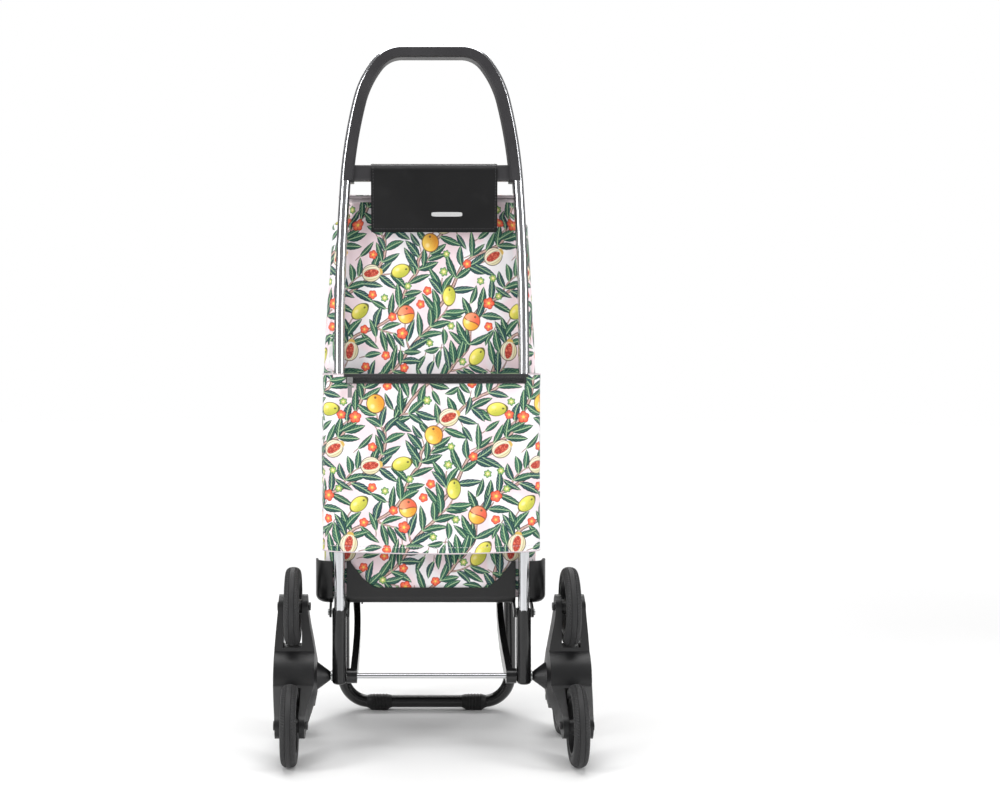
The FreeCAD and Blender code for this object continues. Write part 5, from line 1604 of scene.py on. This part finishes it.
fix_normals(flap)
edge = []
for uo in (-FW + 3.2, FW - 3.2):
    v = np.linspace(3.5, F_LEN - 3.5, 260)
    a = flap_map(np.full(260, uo), v, 0.6)
    b = flap_map(np.full(260, uo), v, 1.6)
    edge.append(stitches("st", a, b - a, THREAD_B, slot="flap_vinyl"))
for vo in (3.5, F_LEN - 3.5):
    uu = np.linspace(-FW + 3.2, FW - 3.2, 150)
    a = flap_map(uu, np.full(150, vo), 0.6)
    b = flap_map(uu, np.full(150, vo), 1.6)
    edge.append(stitches("st", a, b - a, THREAD_B, slot="flap_vinyl"))
flap_stitch = joined("flap_stitching", edge)
# small plain pale label, heat-pressed on the rear face
LX, LV, LW, LH = 19.0, 25.0, 23.0, 3.3
lab_u = np.linspace(-1, 1, 30)
lab_v = np.linspace(-1, 1, 12)
lp = []
AA, BB = np.meshgrid(lab_u, lab_v, indexing="ij")
for a, b in zip(AA.ravel(), BB.ravel()):
    q = (abs(a) ** 6 + abs(b) ** 6) ** (1 / 6) / max(abs(a), abs(b), 1e-6)
    lp.append((a / max(q, 1) * LW, b / max(q, 1) * LH))
lp = np.array(lp)
top_ = flap_map(LX + lp[:, 0], LV + lp[:, 1], 1.0)
bot_ = flap_map(LX + lp[:, 0], LV + lp[:, 1], 0.5)
n1 = 30 * 12
fcs = grid_faces(30, 12) + [tuple(n1 + q for q in reversed(f)) for f in grid_faces(30, 12)]
loop = [i * 12 for i in range(30)] + [29 * 12 + j for j in range(1, 12)] + [i * 12 + 11 for i in reversed(range(29))] + [j for j in reversed(range(1, 11))]
for a, b in zip(loop, loop[1:] + loop[:1]):
    fcs.append((a, n1 + a, n1 + b, b))
n = Net("plain_label")
lt = n.noise(n.uv("cloth"), 400.0, 3.0)
LABEL = n.set(color=n.mix(lt, srgb(168, 168, 168), srgb(196, 196, 196)), rough=0.5, spec=0.4, normal=n.bump(lt, 0.15, 0.0002))
label = raw_mesh("flap_plain_label", np.vstack([top_, bot_]), fcs, LABEL, uv=[(a * MM, b * MM) for a, b in lp] * 2, slot="flap_vinyl", sharp=40)
fix_normals(label)
FLAP_SET = [flap, flap_stitch, label]


# =====================================================================================================
# tyres with a moulded tread
# =====================================================================================================
def tyre_profile():
    """Round-shouldered solid tyre with two fine grooves round its crown."""
    p = [(-9.4, 42.2), (-10.3, 43.2), (-10.9, 45.2), (-11.25, 47.0), (-11.45, 48.6)]
    for x in (11.4, 11.2, 10.9, 10.5, 10.0, 9.4, 8.7, 7.9, 7.0, 6.0, 5.0, 4.4, 4.1, 3.7, 3.4, 2.6, 1.6, 0.8):
        r = 48.6 + 9.85 * (1.0 - (x / 11.5) ** 2.35) ** (1 / 2.35)
        if x in (4.1, 3.7):
            r -= 0.8
        p.append((-x, r))
    return p + [(0.0, 58.45)] + [(-x, r) for x, r in reversed(p)]


TP = tyre_profile()


def tread(w, k):
    """Fine slanted knurls over the shoulders, set off from side to side."""
    x, r = TP[k]
    ax = abs(x)
    if ax < 4.6 or r < 50.5:
        return 0.0
    ph = (w * 88 / (2 * math.pi) + ax * 0.16 + (0.5 if x > 0 else 0.0)) % 1.0
    return -0.85 if ph < 0.42 else 0.0


# =====================================================================================================
# who rides on what
# =====================================================================================================
for o in BAG_SET + PK_SET + ZIP_SET + FLAP_SET:
    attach(o, "chassis")
for o in LID_SET:
    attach(o, "lid")
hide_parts("bag_shell")
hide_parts("rear_pocket")
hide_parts("zip_tape")
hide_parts("hanging_flap")
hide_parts("bag_lid")

TYRES = {}
for side in ("left", "right"):
    for which in ("top", "front", "rear"):
        node = f"tyre_{side}_{which}"
        c = mid(node)
        ctr = (c[0] / MM, (c[1] - AXLE_Y) / MM, c[2] / MM)
        o = lathe_x(f"tread_{side}_{which}", TP, M["tyre_rubber"], ctr, n=352, slot="tyre_rubber", sharp=50, move=tread)
        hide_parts(node)
        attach(o, f"wheel_{side}_{which}")
        TYRES[node] = o

BLACKENED = moulded("blackened_zinc", srgb(30, 30, 31), 0.32, 900.0, 0.00005, 0.5, spec=0.5)
SLOT_OF = {
    "frame_tube": "aluminium_tube", "handle_grip": "grip_plastic", "tube_sleeve_left": "black_plastic", "tube_sleeve_right": "black_plastic",
    "axle_rod": "chromed_steel", "axle_washers": "zinc_steel", "axle_end_caps": "black_plastic", "tray_pivot_pins": "zinc_steel",
    "tray": "tray_plastic", "stand_pivot_pins": "zinc_steel", "stand_tube": "black_steel", "stand_end_plugs": "black_plastic",
    "stand_foot_left": "foot_rubber", "stand_foot_right": "foot_rubber", "brace_left": "black_plastic", "brace_right": "black_plastic",
    "zip_slider": "zip_metal", "zip_pull": "zip_metal",
}
for side in ("left", "right"):
    SLOT_OF[f"wheel_carrier_{side}"] = "carrier_plastic"
    SLOT_OF[f"hub_bush_{side}"] = "nylon"
    SLOT_OF[f"wheel_bolts_{side}"] = "zinc_steel"
    SLOT_OF[f"wheel_nuts_{side}"] = "zinc_steel"
    for which in ("top", "front", "rear"):
        SLOT_OF[f"rim_{side}_{which}"] = "rim_plastic"
# ------------------------------------------------------------------------------------------ stand feet
def foot_shoe(name, x0, x1):
    """A rubber shoe moulded round the bar: tapered ends, flat sole, a row of ribs near its inner end."""
    c = mid("stand_foot_left")
    d0 = 245.0
    z0 = 13.5
    xs = np.concatenate([np.linspace(x0, x0 + 5, 8), np.linspace(x0 + 5.6, x1 - 5.6, 84), np.linspace(x1 - 5, x1, 8)])
    pts, m = [], 40
    for x in xs:
        e = min(abs(x - x0), abs(x1 - x)) / 9.0
        t = float(smooth(np.array(e), 0.0, 1.0))
        rib = 0.75 * float(smooth(np.array(math.sin((x - x0) * 2 * math.pi / 5.2)), 0.1, 0.7)) if (x0 + 8 < x < x0 + 24 or x1 - 24 < x < x1 - 8) else 0.35
        r = 10.15 + 1.1 * t + rib * t
        for k in range(m):
            a = 2 * math.pi * k / m
            dd, zz = r * math.cos(a), r * math.sin(a)
            sole = -(z0 - 0.3) * t - 10.2 * (1 - t)
            if zz < 0:
                wide = 1.0 + 0.10 * t * (-zz / r)
                dd *= wide
                zz = max(zz * (1.0 + 0.32 * t), sole)
            pts.append((x, d0 + dd, z0 + zz))
    n = len(xs)
    fcs = grid_faces(n, m, False, True) + [tuple(range(m)), tuple((n - 1) * m + k for k in reversed(range(m)))]
    o = raw_mesh(name, pts, fcs, M["foot_rubber"], slot="foot_rubber", sharp=38)
    fix_normals(o)
    return o


for side, sg in (("left", -1), ("right", 1)):
    lo, hi = sorted((sg * 58.0, sg * 99.0))
    o = foot_shoe(f"foot_shoe_{side}", lo, hi)
    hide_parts(f"stand_foot_{side}")
    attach(o, "stand")
    del SLOT_OF[f"stand_foot_{side}"]

for nm, sl in SLOT_OF.items():
    o = NODES[nm]
    o.data.materials.clear()
    o.data.materials.append(BLACKENED if nm.startswith(("wheel_bolts", "wheel_nuts")) else M[sl])

# each bag piece gets its own copy of its mesh data
for o in BAG_SET:
    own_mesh(o)
# each pocket piece gets its own copy of its mesh data
for o in PK_SET:
    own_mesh(o)

# =====================================================================================================
# floor, light, camera
# =====================================================================================================
n = Net("studio_floor")
fo = n.obj()
fx, fy, _ = n.xyz(fo)
far = n.step(n.m("SQRT", n.add(n.mul(fx, fx), n.mul(fy, fy))), 0.9, 2.3)
fl = n.noise(fo, 3.0, 2.0)
FLOOR = n.set(color=n.mix(far, n.mix(fl, (0.88, 0.88, 0.88, 1), (0.92, 0.92, 0.92, 1)), (0.0, 0.0, 0.0, 1)), rough=0.65, spec=0.2)
for nd in FLOOR.node_tree.nodes:
    if nd.type == "BSDF_PRINCIPLED":
        nd.inputs["Emission Color"].default_value = (1.0, 1.0, 1.0, 1.0)
        FLOOR.node_tree.links.new(n.mul(far, 1.0), nd.inputs["Emission Strength"])
bm = bmesh.new()
prof = [0.0, 0.6, 1.2, 1.9, 2.6, 3.4, 5.0, 9.0]
rings = []
for r in prof[1:]:
    rings.append([bm.verts.new((r * math.cos(2 * math.pi * k / 72), 0.3 + r * math.sin(2 * math.pi * k / 72), -0.0004)) for k in range(72)])
heart = bm.verts.new((0.0, 0.3, -0.0004))
for k in range(72):
    bm.faces.new((heart, rings[0][k], rings[0][(k + 1) % 72]))
for ra, rb in zip(rings, rings[1:]):
    for k in range(72):
        bm.faces.new((ra[k], rb[k], rb[(k + 1) % 72], ra[(k + 1) % 72]))
me = bpy.data.meshes.new("studio_floor")
bm.to_mesh(me)
bm.free()
floor = link("studio_floor", me, [FLOOR])

scene = bpy.context.scene
world = bpy.data.worlds.new("studio_air")
world.use_nodes = True
bg = world.node_tree.nodes["Background"]
bg.inputs["Color"].default_value = (1.0, 1.0, 1.0, 1.0)
bg.inputs["Strength"].default_value = 0.22
scene.world = world
wt = world.node_tree
bg2 = wt.nodes.new("ShaderNodeBackground")
bg2.inputs["Color"].default_value = (1.0, 1.0, 1.0, 1.0)
bg2.inputs["Strength"].default_value = 1.0
ray = wt.nodes.new("ShaderNodeLightPath")
pick = wt.nodes.new("ShaderNodeMixShader")
wt.links.new(ray.outputs["Is Camera Ray"], pick.inputs[0])
wt.links.new(bg.outputs[0], pick.inputs[1])
wt.links.new(bg2.outputs[0], pick.inputs[2])
wt.links.new(pick.outputs[0], wt.nodes["World Output"].inputs["Surface"])
scene.view_settings.view_transform = "Standard"


def area(name, loc, look, size, power, color=(1, 1, 1)):
    L = bpy.data.lights.new(name, "AREA")
    L.shape = "RECTANGLE"
    L.size, L.size_y = size
    L.energy = power
    L.color = color
    o = bpy.data.objects.new(name, L)
    o.location = loc
    o.rotation_euler = (Vector(look) - Vector(loc)).to_track_quat("-Z", "Y").to_euler()
    scene.collection.objects.link(o)
    return o


area("key_left", (-2.3, -1.7, 1.5), (0.0, 0.0, 0.55), (0.9, 2.2), 58.0)
area("key_right", (2.4, -1.6, 1.4), (0.0, 0.0, 0.55), (0.8, 2.2), 48.0)
area("top", (0.0, -0.3, 3.2), (0.0, 0.1, 0.0), (2.8, 2.4), 72.0)
area("back_wash", (0.0, 2.6, 2.6), (0.0, 0.4, 0.2), (2.6, 1.2), 46.0)

cam_data = bpy.data.cameras.new("photo_camera")
cam_data.lens = 54.0
cam_data.sensor_width = 36.0
cam_data.shift_x = 0.1185
cam_data.shift_y = -0.06
cam = bpy.data.objects.new("photo_camera", cam_data)
cam.location = (-0.075, AXLE_Y - 2.25, 0.614)
cam.rotation_euler = (math.radians(90), 0.0, 0.0)
scene.collection.objects.link(cam)
scene.camera = cam

bpy.context.view_layer.update()
